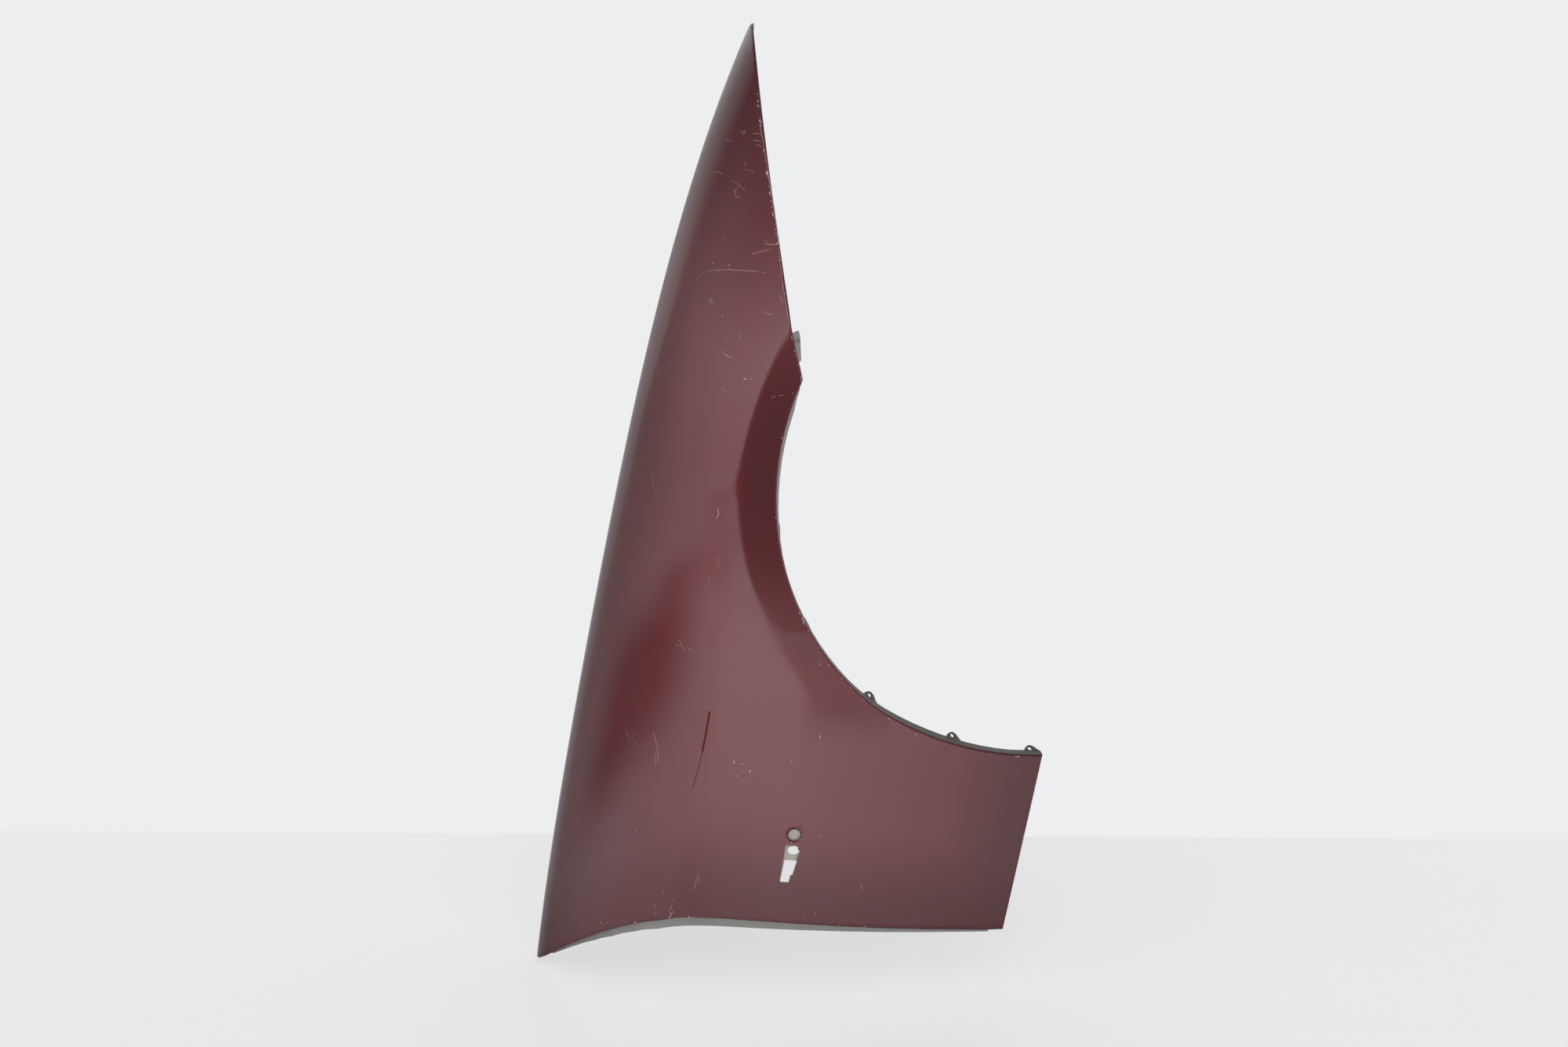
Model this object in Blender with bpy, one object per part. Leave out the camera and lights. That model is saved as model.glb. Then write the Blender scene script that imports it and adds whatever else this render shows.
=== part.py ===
# Right-hand front fender of a two-door car: one moulded panel with its returns and flanges,
# and the small bracket that holds the side lamp behind its slot.
# Metres. +X is forward on the car, +Z is up, and the outer side faces -Y.
# Places are worked out from the centre of the wheel arch. The finished part is then moved so
# that its origin lies under the middle fixing pad of the bonnet flange, where it sits on the car.

import math

import bmesh
import bpy
from mathutils import Matrix, Vector
from mathutils.geometry import delaunay_2d_cdt

# Moulding
WALL = 0.0026
EDGE_RADIUS = 0.0030
CLEARANCE = 0.0003
CUT_OVERRUN = 0.006
MERGE = 0.000001
SLOPE_STEP = 0.0002

# Wheel arch and the flat flare round it
ARCH_RADIUS = 0.365
ARCH_REAR_FLAT = 0.0045
ARCH_REAR_FLAT_START = 148.0
ARCH_REAR_ANGLE = 186.5
ARCH_FRONT_ANGLE = 72.3
FLARE_WIDTH = 0.044
FLARE_DROP = 0.0065
FLARE_SOFTNESS = 0.006
FLARE_FULL_ANGLE = 118.0
FLARE_END_ANGLE = 150.0

# Door and sill edges
DOOR_EDGE_BACK = 0.6252
SILL_DROP = 0.030
DOOR_SWEEP_HEIGHT = 0.360
DOOR_SWEEP_POWER = 2.42
REAR_TOP_BACK = 0.786
REAR_TOP_HEIGHT = 0.617

# Nose: bumper corner, lamp edge and tip
BUMPER_EDGE_RUN = 0.0613
BUMPER_EDGE_RISE = 0.0218
LAMP_EDGE_CROWN = 0.0065
LAMP_EDGE_SKEW_SHARE = 0.5
TIP_FORWARD = 0.5535
TIP_HEIGHT = 0.4577
TIP_RADIUS = 0.0035

# Bonnet edge, a bowed line from the rear corner to the tip
BONNET_CROWN = 0.0365
BONNET_SKEW_SHARE = 0.466
BONNET_LIFT_SHARE = 0.438

# Depth of the skin, measured inboard from the widest line
SHOULDER_HEIGHT = 0.385
NOSE_SWEEP = 0.150
NOSE_SWEEP_BACK = 0.050
NOSE_SWEEP_POWER = 2.2
ROLL_REAR = 0.150
ROLL_TIP = 0.095
ROLL_POWER = 2.4
ROLL_ROUND_SHARE = 0.35
ROLL_FULL_SHARE = 0.995
SILL_TUCK = 0.038
TUCK_POWER = 2.4
DOOR_TAPER = 0.006

# Body line, a ridge that fades out above the arch
LINE_LOW_BACK = 0.330
LINE_LOW_HEIGHT = 0.416
LINE_RISE = 0.020
LINE_RISE_SPAN = 0.310
LINE_HEIGHT = 0.0042
LINE_SPREAD = 0.050
LINE_RADIUS = 0.005
LINE_FULL_BACK = 0.260
LINE_END_BACK = 0.060

# Side lamp opening: a round hole in a pressed-in ring, and a stepped slot behind it
LAMP_HOLE_BACK = 0.4951
LAMP_HOLE_HEIGHT = 0.2844
LAMP_HOLE_RADIUS = 0.0083
LAMP_RING_RADIUS = 0.0115
LAMP_RING_DEPTH = 0.0020
SLOT_FRONT_BACK = 0.5099
SLOT_LENGTH = 0.0547
SLOT_TOP_HEIGHT = 0.2944
SLOT_TOP_RISE = 0.0021
SLOT_FRONT_WIDTH = 0.0172
SLOT_WIDE_WIDTH = 0.0205
SLOT_STEP_WIDTH = 0.0160
SLOT_REAR_WIDTH = 0.0126
SLOT_NOSE_SHARE = 0.085
SLOT_WIDE_SHARE = 0.13
SLOT_STEP_SHARE = 0.80

# Bracket behind the slot
BRACKET_WALL = 0.0016
BRACKET_FRONT_REACH = 0.019
BRACKET_PLATE_LENGTH = 0.0236
BRACKET_OVERLAP = 0.0086
BRACKET_ARM_WIDTH = 0.0105
BRACKET_ARM_END_WIDTH = 0.0075
BRACKET_HOLE_SETBACK = 0.0091
BRACKET_HOLE_DROP = 0.0122
BRACKET_HOLE_LENGTH = 0.0135
BRACKET_HOLE_WIDTH = 0.0160

# Arch flange with eyelets for the wheel arch liner
ARCH_FLANGE_DEPTH = 0.018
ARCH_FLANGE_SPLIT = 0.010
ARCH_FLANGE_CLEAR = 0.012
ARCH_REAR_LEAN = 9.0
ARCH_REAR_LEAN_ANGLES = (139.0, 151.0, 158.0, 182.0)
ARCH_FRONT_LEAN = 31.0
ARCH_FRONT_LEAN_START = 74.0
ARCH_FRONT_LEAN_END = 112.0
EYELET_ANGLES = (184.6, 166.2, 145.2, 124.4, 103.6)
EYELET_HEIGHT = 0.0135
EYELET_FRONT_LENGTH = 0.0095
EYELET_TAIL_LENGTH = 0.0140
EYELET_FRONT_POWER = 0.7
EYELET_TAIL_POWER = 1.3
EYELET_HOLE_RADIUS = 0.0030
EYELET_HOLE_INSET = 0.0075
EYELET_STATION_SHARES = (-1, -0.7, -0.35, 0, 0.35, 0.7, 1)

# Bonnet flange: a wall down to a ledge with screw pads
BONNET_WALL_DEPTH = 0.030
BONNET_WALL_LEAN = 0.004
BONNET_BEND = 0.004
PAD_PLACES = (-0.690, -0.440, -0.170, 0.090, 0.330)
PAD_LENGTH = 0.046
PAD_WIDTH = 0.028
PAD_FADE = 0.016
LEDGE_WIDTH = 0.013
PAD_HOLE_RADIUS = 0.0042
BONNET_FLANGE_CLEAR = 0.020
BONNET_FLANGE_FRONT = 0.420
MOUNT_OFFSET = 0.013

# Door flange: a step inboard, then a strip that reaches back behind the door
DOOR_STEP_DEPTH = 0.012
DOOR_STRIP_REACH = 0.017
DOOR_STRIP_FOOT_REACH = 0.008
DOOR_STRIP_TOP_REACH = 0.003
DOOR_FLANGE_CLEAR = 0.012

# Sill, lamp and bumper flanges
SILL_FLANGE_DEPTH = 0.022
SILL_FLANGE_CLEAR = 0.016
SILL_HOLE_RADIUS = 0.0040
SILL_HOLE_SHARES = (0.22, 0.78)
LAMP_RETURN_DEPTH = 0.008
LAMP_RETURN_CLEAR = 0.030
BUMPER_FLANGE_DEPTH = 0.022
BUMPER_FLANGE_LEAN = 0.015
BUMPER_FLANGE_CLEAR = 0.005
BUMPER_TAB_LEAST_SHARE = 0.35
BUMPER_TAB_FULL_SHARE = 0.45
BUMPER_TAB_ROUND_SHARES = (0.8, 0.25)
BUMPER_HOLE_RADIUS = 0.0030
BUMPER_HOLE_SHARE = 0.72
BUMPER_HOLE_INSET = 0.006

# Mesh fineness: cells along each stretch of the outline, and rows across the skin
SILL_CELLS = 11
ARCH_CELLS = 34
BUMPER_CELLS = 3
LAMP_CELLS = 16
FLARE_ROWS = 3
SIDE_ROWS = 7
ROLL_ROWS = 9
BEND_STEPS = 2
HOLE_SIDES = 12
RING_SIDES = 16
TIP_STEPS = 4

# Slack when the ends of the arch line are picked by angle, in degrees
ANGLE_SLACK = 0.05
ARCH_END_SLACK = 1.5

# Feet of the columns on the bonnet edge, as shares of the sizes that they stand over
BACK_FOOT_SHARE = 0.96
FRONT_FOOT_SHARE = 0.93
CORNER_FOOT_SHARE = 0.95
CAP_LAMP_SHARE = 0.90
CAP_FOOT_SHARE = 0.905
CAP_BOW = 0.0012
CAP_BOW_COLUMNS = 4
MID_ROW_SHARE = 0.52
LEAST_ROW_SHARE = 0.25

INBOARD = Vector((0, 1, 0))
PAINT = ("gloss_dark_red_paint", (0.075, 0.010, 0.014), 0.22, 0.0)
RAW_GREY = ("raw_grey_thermoplastic", (0.16, 0.16, 0.15), 0.55, 0.0)


def lerp(start, end, share):
    return start + (end - start) * share


def smooth(value, low, high):
    """0 at low, 1 at high, with an even start and end."""
    share = min(1.0, max(0.0, (value - low) / (high - low)))
    return share * share * (3 - 2 * share)


def polar(radius, angle):
    return Vector((radius * math.cos(math.radians(angle)), radius * math.sin(math.radians(angle))))


# Outline of the skin, in the side view (x, z)


def skin_arch_radius(angle):
    """Nearly a circle: the rear foot of the arch runs a little straighter."""
    share = (angle - ARCH_REAR_FLAT_START) / (ARCH_REAR_ANGLE - ARCH_REAR_FLAT_START)
    share = min(1.0, max(0.0, share))
    return ARCH_RADIUS + EDGE_RADIUS - ARCH_REAR_FLAT * 4 * share * (1 - share)


def arch_point(angle):
    return polar(skin_arch_radius(angle), angle)


def sill_corner():
    return Vector((EDGE_RADIUS - DOOR_EDGE_BACK, EDGE_RADIUS - SILL_DROP))


def lamp_corner():
    return arch_point(ARCH_FRONT_ANGLE) + Vector((BUMPER_EDGE_RUN, BUMPER_EDGE_RISE))


def rear_top():
    return Vector((EDGE_RADIUS - REAR_TOP_BACK, REAR_TOP_HEIGHT))


def door_edge(share):
    """Straight up from the sill, then swept back ever faster to the rear top corner."""
    low, high = sill_corner(), rear_top()
    height = lerp(low.y, high.y, share)
    swept = max(0.0, height - DOOR_SWEEP_HEIGHT) / (high.y - DOOR_SWEEP_HEIGHT)
    return Vector((lerp(low.x, high.x, swept ** DOOR_SWEEP_POWER), height))


def bonnet_height(x):
    """The bonnet edge: a chord with a crown that is fuller towards the tip."""
    share = (x + REAR_TOP_BACK) / (REAR_TOP_BACK + TIP_FORWARD)
    lean = 2 * share - 1
    crown = BONNET_CROWN * (1 + BONNET_SKEW_SHARE * lean + BONNET_LIFT_SHARE * lean * lean)
    return lerp(REAR_TOP_HEIGHT, TIP_HEIGHT, share) + 4 * share * (1 - share) * crown


def lamp_edge(share):
    """The edge above the lamp, a slightly bowed line from the lamp corner to the tip."""
    start = lamp_corner()
    end = Vector((TIP_FORWARD - EDGE_RADIUS - TIP_RADIUS, TIP_HEIGHT - TIP_RADIUS + EDGE_RADIUS))
    fuller = 1 + LAMP_EDGE_SKEW_SHARE * (2 * share - 1)
    crown = LAMP_EDGE_CROWN * 4 * share * (1 - share) * fuller
    return lerp(start, end, share) + Vector((0, crown))


# Depth of the skin


def line_height(x):
    """Height of the body line."""
    away = (x + LINE_LOW_BACK) / LINE_RISE_SPAN
    return LINE_LOW_HEIGHT + LINE_RISE * away * away


def ridge(x, z):
    """How far the body line stands out of the skin."""
    strength = smooth(-x, LINE_END_BACK, LINE_FULL_BACK)
    away = z - line_height(x)
    rounded = math.sqrt(away * away + LINE_RADIUS * LINE_RADIUS) - LINE_RADIUS
    return strength * LINE_HEIGHT * math.exp(-rounded / LINE_SPREAD)


def flare(x, z):
    """How far the flat band round the arch turns in towards the wheel."""
    angle = math.degrees(math.atan2(z, x)) % 360
    inside = FLARE_WIDTH - (math.hypot(x, z) - skin_arch_radius(angle))
    ramp = (inside + math.sqrt(inside * inside + FLARE_SOFTNESS * FLARE_SOFTNESS)) / 2
    strength = 1 - smooth(angle, FLARE_FULL_ANGLE, FLARE_END_ANGLE)
    return strength * FLARE_DROP * ramp / FLARE_WIDTH


def nose_share(x):
    return max(0.0, (x + NOSE_SWEEP_BACK) / (TIP_FORWARD + NOSE_SWEEP_BACK))


def depth(x, z):
    """Distance inboard of the outer face, at a place in the side view."""
    nose = nose_share(x)
    sweep = NOSE_SWEEP * nose ** NOSE_SWEEP_POWER
    taper = DOOR_TAPER * (max(0.0, -x) / DOOR_EDGE_BACK) ** 2
    above = max(0.0, (z - SHOULDER_HEIGHT) / (bonnet_height(x) - SHOULDER_HEIGHT))
    round_end = 1 - math.sqrt(max(0.0, 1 - ROLL_FULL_SHARE * above * above))
    roll = lerp(ROLL_REAR, ROLL_TIP, nose) * lerp(above ** ROLL_POWER, round_end, ROLL_ROUND_SHARE)
    below = max(0.0, (SHOULDER_HEIGHT - z) / (SHOULDER_HEIGHT + SILL_DROP))
    tuck = SILL_TUCK * below ** TUCK_POWER
    return sweep + taper + roll + tuck + flare(x, z) - ridge(x, z)


def on_skin(place, inset=0.0):
    """The 3-D point of the outer face over a side-view place, or that far behind it."""
    return Vector((place.x, depth(place.x, place.y) + inset, place.y))


def skin_normal(x, z):
    """Outward normal of the outer face."""
    along = (depth(x + SLOPE_STEP, z) - depth(x - SLOPE_STEP, z)) / (2 * SLOPE_STEP)
    up = (depth(x, z + SLOPE_STEP) - depth(x, z - SLOPE_STEP)) / (2 * SLOPE_STEP)
    return Vector((along, -1, up)).normalized()


# The skin, as columns between the lower outline and the bonnet edge


def columns():
    """Foot on the lower outline and head on the bonnet edge, for every column."""
    back_head = -DOOR_EDGE_BACK * BACK_FOOT_SHARE
    front_head = arch_point(ARCH_FRONT_ANGLE).x * FRONT_FOOT_SHARE
    corner_head = lamp_corner().x * CORNER_FOOT_SHARE
    cap_head = TIP_FORWARD * CAP_FOOT_SHARE
    stretches = (
        (SILL_CELLS, lambda s: lerp(sill_corner(), arch_point(ARCH_REAR_ANGLE), s),
         rear_top().x, back_head),
        (ARCH_CELLS, lambda s: arch_point(lerp(ARCH_REAR_ANGLE, ARCH_FRONT_ANGLE, s)),
         back_head, front_head),
        (BUMPER_CELLS, lambda s: lerp(arch_point(ARCH_FRONT_ANGLE), lamp_corner(), s),
         front_head, corner_head),
        (LAMP_CELLS, lambda s: lamp_edge(s * CAP_LAMP_SHARE), corner_head, cap_head),
    )
    made = []
    for cells, foot, head_from, head_to in stretches:
        for k in range(0 if not made else 1, cells + 1):
            head_x = lerp(head_from, head_to, k / cells)
            made.append((foot(k / cells), Vector((head_x, bonnet_height(head_x)))))
    return made


def line_share(foot, head):
    """Where the body line crosses a column. Past its front end the row drifts to mid height."""
    middle = lerp(foot, head, MID_ROW_SHARE)
    share = MID_ROW_SHARE
    for _ in range(4):
        x = lerp(foot.x, head.x, share)
        ahead = smooth(x, -LINE_FULL_BACK, lamp_corner().x)
        height = lerp(line_height(x), middle.y, ahead)
        share = max(LEAST_ROW_SHARE, (height - foot.y) / (head.y - foot.y))
    return share


def row_shares(foot, head):
    """Shares of a column's length: the flare band, the side, then closing up to the bonnet."""
    crossing = line_share(foot, head)
    band = min(FLARE_WIDTH / (head - foot).length, crossing / 2)
    shares = [band * k / FLARE_ROWS for k in range(FLARE_ROWS)]
    shares += [lerp(band, crossing, k / SIDE_ROWS) for k in range(SIDE_ROWS)]
    shares += [1 - (1 - crossing) * (1 - k / ROLL_ROWS) ** 1.8 for k in range(ROLL_ROWS + 1)]
    return shares


def skin_places():
    """Side-view place of every grid point, bent at the rear to follow the door edge."""
    pairs = columns()
    foot, head = pairs[0]
    door_shares = row_shares(foot, head)
    bows = [door_edge(s) - lerp(foot, head, s) for s in door_shares]
    grid = []
    for i, (foot, head) in enumerate(pairs):
        fade = max(0.0, 1 - i / SILL_CELLS)
        cap = CAP_BOW * max(0.0, 1 - (len(pairs) - 1 - i) / CAP_BOW_COLUMNS)
        column = []
        for share, bow in zip(row_shares(foot, head), bows):
            hollow = Vector((4 * cap * share * (share - 1), 0))
            column.append(lerp(foot, head, share) + bow * fade + hollow)
        grid.append(column)
    return grid


def inside(place, outline):
    """True if a side-view place lies in a closed outline."""
    found = False
    for a, b in zip(outline, outline[1:] + outline[:1]):
        if (a.y > place.y) != (b.y > place.y):
            if place.x < a.x + (b.x - a.x) * (place.y - a.y) / (b.y - a.y):
                found = not found
    return found


def fill_patch(bm, border, holes, rings, spots):
    """Triangles between a border of mesh points and the holes, through rings and loose spots.

    holes and rings are lists of (place, inset) outlines. Returns nothing: the faces join bm."""
    verts = list(border)
    places = [Vector((v.co.x, v.co.z)) for v in border]
    edges = [(k, (k + 1) % len(border)) for k in range(len(border))]
    for outline in holes + rings:
        first = len(verts)
        verts += [bm.verts.new(on_skin(place, inset)) for place, inset in outline]
        places += [place for place, inset in outline]
        edges += [(first + k, first + (k + 1) % len(outline)) for k in range(len(outline))]
    verts += [bm.verts.new(on_skin(place)) for place in spots]
    places += list(spots)
    found = delaunay_2d_cdt(places, edges, [], 0, MERGE)
    source = [verts[ids[0]] for ids in found[3]]
    edge_line = places[:len(border)]
    gaps = [[place for place, inset in outline] for outline in holes]
    for face in found[2]:
        centre = sum((found[0][k] for k in face), Vector((0, 0))) / len(face)
        if inside(centre, edge_line) and not any(inside(centre, gap) for gap in gaps):
            bm.faces.new([source[k] for k in face])


# Side lamp opening


def circle(centre, radius, sides):
    turn = 360 / sides
    return [centre + polar(radius, k * turn) for k in range(sides)]


def lamp_hole_centre():
    return Vector((-LAMP_HOLE_BACK, LAMP_HOLE_HEIGHT))


def slot_outline():
    """The stepped slot, from its upper front corner round by the lower side."""
    def top(share):
        return Vector((-SLOT_FRONT_BACK - SLOT_LENGTH * share, SLOT_TOP_HEIGHT + SLOT_TOP_RISE * share))

    def low(share, width):
        return top(share) - Vector((0, width))

    return [
        top(0), top(0.5), top(1),
        low(1, SLOT_REAR_WIDTH), low(SLOT_STEP_SHARE, SLOT_REAR_WIDTH + SLOT_TOP_RISE / 2),
        low(SLOT_STEP_SHARE, SLOT_STEP_WIDTH),
        low(SLOT_WIDE_SHARE + SLOT_NOSE_SHARE, SLOT_WIDE_WIDTH), low(SLOT_WIDE_SHARE, SLOT_WIDE_WIDTH),
        low(SLOT_NOSE_SHARE, SLOT_FRONT_WIDTH), low(0, SLOT_FRONT_WIDTH),
    ]


def open_side_lamp(bm, grid):
    """Cuts the cells round the side lamp out of the skin and fills in with its openings."""
    slot = slot_outline()
    low = Vector((min(p.x for p in slot), min(p.y for p in slot)))
    high = Vector((LAMP_RING_RADIUS - LAMP_HOLE_BACK, LAMP_HOLE_HEIGHT + LAMP_RING_RADIUS))
    margin = LAMP_RING_RADIUS / 2
    taken = []
    for i in range(len(grid) - 1):
        for j in range(len(grid[i]) - 1):
            corners = [grid[i][j].co, grid[i + 1][j].co, grid[i][j + 1].co, grid[i + 1][j + 1].co]
            xs, zs = [c.x for c in corners], [c.z for c in corners]
            if max(xs) > low.x - margin and min(xs) < high.x + margin:
                if max(zs) > low.y - margin and min(zs) < high.y + margin:
                    taken.append((i, j))
    i0, i1 = min(i for i, j in taken), max(i for i, j in taken) + 1
    j0, j1 = min(j for i, j in taken), max(j for i, j in taken) + 1
    border = [grid[i][j0] for i in range(i0, i1)] + [grid[i1][j] for j in range(j0, j1)]
    border += [grid[i][j1] for i in range(i1, i0, -1)] + [grid[i0][j] for j in range(j1, j0, -1)]
    gone = [grid[i][j] for i in range(i0 + 1, i1) for j in range(j0 + 1, j1)]
    faces = {f for i in range(i0, i1) for j in range(j0, j1)
             for f in grid[i][j].link_faces if grid[i + 1][j + 1] in f.verts}
    spots = [Vector((v.co.x, v.co.z)) for v in gone]
    bmesh.ops.delete(bm, geom=list(faces), context="FACES")
    centre = lamp_hole_centre()
    guard = LAMP_RING_RADIUS * 1.5
    spots = [p for p in spots if (p - centre).length > guard and not inside(p, slot)]
    hole = [(p, LAMP_RING_DEPTH) for p in circle(centre, LAMP_HOLE_RADIUS, RING_SIDES)]
    ring = [(p, 0.0) for p in circle(centre, LAMP_RING_RADIUS, RING_SIDES)]
    fill_patch(bm, border, [hole, [(p, 0.0) for p in slot]], [ring], spots)


# The tip, closed past the last full column


def tip_outline():
    """Side-view places round the tip: along the lamp edge, round the end, back to the bonnet."""
    low = [lamp_edge(lerp(CAP_LAMP_SHARE, 1, k / 3)) for k in range(1, 4)]
    end = Vector((TIP_FORWARD - EDGE_RADIUS, TIP_HEIGHT))
    start_x = TIP_FORWARD * CAP_FOOT_SHARE
    high = []
    for k in range(3):
        x = lerp(low[-1].x, start_x, k / 3)
        high.append(Vector((x, bonnet_height(x))))
    return low, [end], high


def build_skin(bm):
    """The whole outer face. Returns the outline as named stretches of points, in order."""
    grid = [[bm.verts.new(on_skin(place)) for place in column] for column in skin_places()]
    for i in range(len(grid) - 1):
        for j in range(len(grid[i]) - 1):
            bm.faces.new((grid[i][j], grid[i + 1][j], grid[i + 1][j + 1], grid[i][j + 1]))
    low, end, high = ([bm.verts.new(on_skin(p)) for p in part] for part in tip_outline())
    fill_patch(bm, grid[-1][::-1] + low + end + high, [], [], [])
    open_side_lamp(bm, grid)
    foot = [column[0] for column in grid]
    arch_from, arch_to = SILL_CELLS, SILL_CELLS + ARCH_CELLS
    corner = arch_to + BUMPER_CELLS
    return {
        "sill": foot[:arch_from + 1],
        "arch": foot[arch_from:arch_to + 1],
        "bumper": foot[arch_to:corner + 1],
        "lamp": foot[corner:] + low,
        "tip": [low[-1]] + end + [high[0]],
        "bonnet": high + [column[-1] for column in grid[::-1]],
        "door": grid[0][::-1],
    }


# Rolled edge all round


def arch_lean(angle):
    """Lean of the arch flange towards the wheel, in degrees, at an angle round the arch."""
    fading = (angle - ARCH_FRONT_LEAN_START) / (ARCH_FRONT_LEAN_END - ARCH_FRONT_LEAN_START)
    front = 1 - min(1.0, max(0.0, fading))
    start, full, past, end = ARCH_REAR_LEAN_ANGLES
    rear = smooth(angle, start, full) - smooth(angle, past, end)
    return ARCH_FRONT_LEAN * front + ARCH_REAR_LEAN * rear


def arch_direction(co):
    angle = math.degrees(math.atan2(co.z, co.x)) % 360
    lean = math.radians(arch_lean(angle))
    inward = Vector((-co.x, 0, -co.z)).normalized()
    return INBOARD * math.cos(lean) + inward * math.sin(lean)


def bumper_direction(co):
    start, end = arch_point(ARCH_FRONT_ANGLE), lamp_corner()
    share = min(1.0, max(0.0, (co.x - start.x) / (end.x - start.x)))
    along = (end - start).normalized()
    lean = BUMPER_FLANGE_LEAN * share
    away = Vector((along.y, 0, -along.x)) * lean
    return (INBOARD * BUMPER_FLANGE_DEPTH + away).normalized()


def square_in(co):
    return -skin_normal(co.x, co.z)


def straight_down(co):
    return Vector((0, BONNET_WALL_LEAN, -BONNET_WALL_DEPTH)).normalized()


def roll_edges(bm, stretches):
    """Turns the whole outline in over a small radius. Returns each stretch's new edge points."""
    turn_to = {
        "sill": lambda co: INBOARD, "arch": arch_direction, "bumper": bumper_direction,
        "lamp": lambda co: INBOARD, "tip": square_in, "bonnet": straight_down,
        "door": lambda co: (INBOARD + square_in(co)).normalized(),
    }
    loop, wanted = [], {}
    for name, stretch in stretches.items():
        for v in stretch:
            if v not in wanted:
                loop.append(v)
                wanted[v] = Vector((0, 0, 0))
            wanted[v] += turn_to[name](v.co)
    count = len(loop)
    frames = []
    for k, v in enumerate(loop):
        before, after = loop[k - 1].co, loop[(k + 1) % count].co
        along = ((v.co - before).normalized() + (after - v.co).normalized()).normalized()
        half_turn = along.angle(after - v.co)
        out = along.cross(skin_normal(v.co.x, v.co.z)).normalized()
        goal = wanted[v].normalized()
        side = (goal - out * out.dot(goal)).normalized()
        frames.append((v.co.copy(), out, side, out.angle(goal), EDGE_RADIUS / math.cos(half_turn)))
    line = loop
    for step in range(1, BEND_STEPS + 1):
        places = []
        for co, out, side, turn, radius in frames:
            angle = turn * step / BEND_STEPS
            places.append(co + out * radius * math.sin(angle) + side * radius * (1 - math.cos(angle)))
        line = extrude_line(bm, line, places, closed=True)
    rolled = dict(zip(loop, line))
    return {name: [rolled[v] for v in stretch] for name, stretch in stretches.items()}


def extrude_line(bm, line, places, closed=False):
    """Extrudes a line of points to new places and returns the new line."""
    pairs = list(zip(line, line[1:] + line[:1] if closed else line[1:]))
    edges = [bm.edges.get(pair) for pair in pairs]
    made = bmesh.ops.extrude_edge_only(bm, edges=edges)["geom"]
    fresh = {e for e in made if isinstance(e, bmesh.types.BMVert)}
    new_line = [next(e.other_vert(v) for e in v.link_edges if e.other_vert(v) in fresh) for v in line]
    for v, place in zip(new_line, places):
        v.co = place
    return new_line


def trim_line(line, measure, low, high):
    """The part of a line whose measure lies between two values."""
    return [v for v in line if low <= measure(v.co) <= high]


def split_line(bm, line, measure, stations):
    """Adds points to a line where its measure reaches each station."""
    for station in stations:
        for a, b in zip(line, line[1:]):
            from_a, from_b = measure(a.co), measure(b.co)
            low, high = min(from_a, from_b), max(from_a, from_b)
            near = (high - low) * 0.04
            if low + near < station < high - near:
                share = (station - from_a) / (from_b - from_a)
                new = bmesh.utils.edge_split(bm.edges.get((a, b)), a, share)[1]
                line.insert(line.index(b), new)
                break
    return line


# Flanges


def arch_angle(co):
    return math.degrees(math.atan2(co.z, co.x)) % 360


def eyelet_angle(share):
    """Angle from an eyelet's middle: -1 is its steep front end, 1 the end of its long tail."""
    return math.degrees(share * (EYELET_TAIL_LENGTH if share > 0 else EYELET_FRONT_LENGTH) / ARCH_RADIUS)


def eyelet_rise(angle):
    """Extra depth of the arch flange at an angle: a rounded eyelet at each fixing."""
    rise = 0.0
    for centre in EYELET_ANGLES:
        side = 1 if angle > centre else -1
        power = EYELET_TAIL_POWER if side > 0 else EYELET_FRONT_POWER
        away = (angle - centre) / eyelet_angle(side)
        if away < 1:
            rise = EYELET_HEIGHT * math.cos(away * math.pi / 2) ** power
    return rise


def add_arch_flange(bm, line):
    """A leaning flange round the arch, with an eyelet at every liner fixing."""
    start = ARCH_FRONT_ANGLE + math.degrees(ARCH_FLANGE_CLEAR / ARCH_RADIUS)
    line = split_line(bm, line, arch_angle, [start])
    line = trim_line(line, arch_angle, start - ANGLE_SLACK, ARCH_REAR_ANGLE + ARCH_END_SLACK)
    first = [v.co + arch_direction(v.co) * (ARCH_FLANGE_SPLIT - EDGE_RADIUS) for v in line]
    line = extrude_line(bm, line, first)
    for centre in EYELET_ANGLES:
        split_line(bm, line, arch_angle, [centre + eyelet_angle(s) for s in EYELET_STATION_SHARES])
    places = []
    for v in line:
        reach = ARCH_FLANGE_DEPTH - ARCH_FLANGE_SPLIT + eyelet_rise(arch_angle(v.co))
        places.append(v.co + arch_direction(v.co) * reach)
    extrude_line(bm, line, places)


def pad_share(x):
    """1 on a screw pad, 0 on the ledge between two pads."""
    away = min(abs(x - place) for place in PAD_PLACES)
    return 1 - smooth(away, PAD_LENGTH / 2, PAD_LENGTH / 2 + PAD_FADE)


def pad_height(place):
    return bonnet_height(place) - BONNET_WALL_DEPTH


def seat_height(x):
    """Height of the bonnet flange's upper face: level on each pad, sloping between pads."""
    half = PAD_LENGTH / 2
    stations = [(p + side * half, pad_height(p)) for p in PAD_PLACES for side in (-1, 1)]
    if x <= stations[0][0]:
        return stations[0][1]
    for (x0, z0), (x1, z1) in zip(stations, stations[1:]):
        if x <= x1:
            return lerp(z0, z1, (x - x0) / (x1 - x0))
    return stations[-1][1] + bonnet_height(x) - bonnet_height(stations[-1][0])


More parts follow.
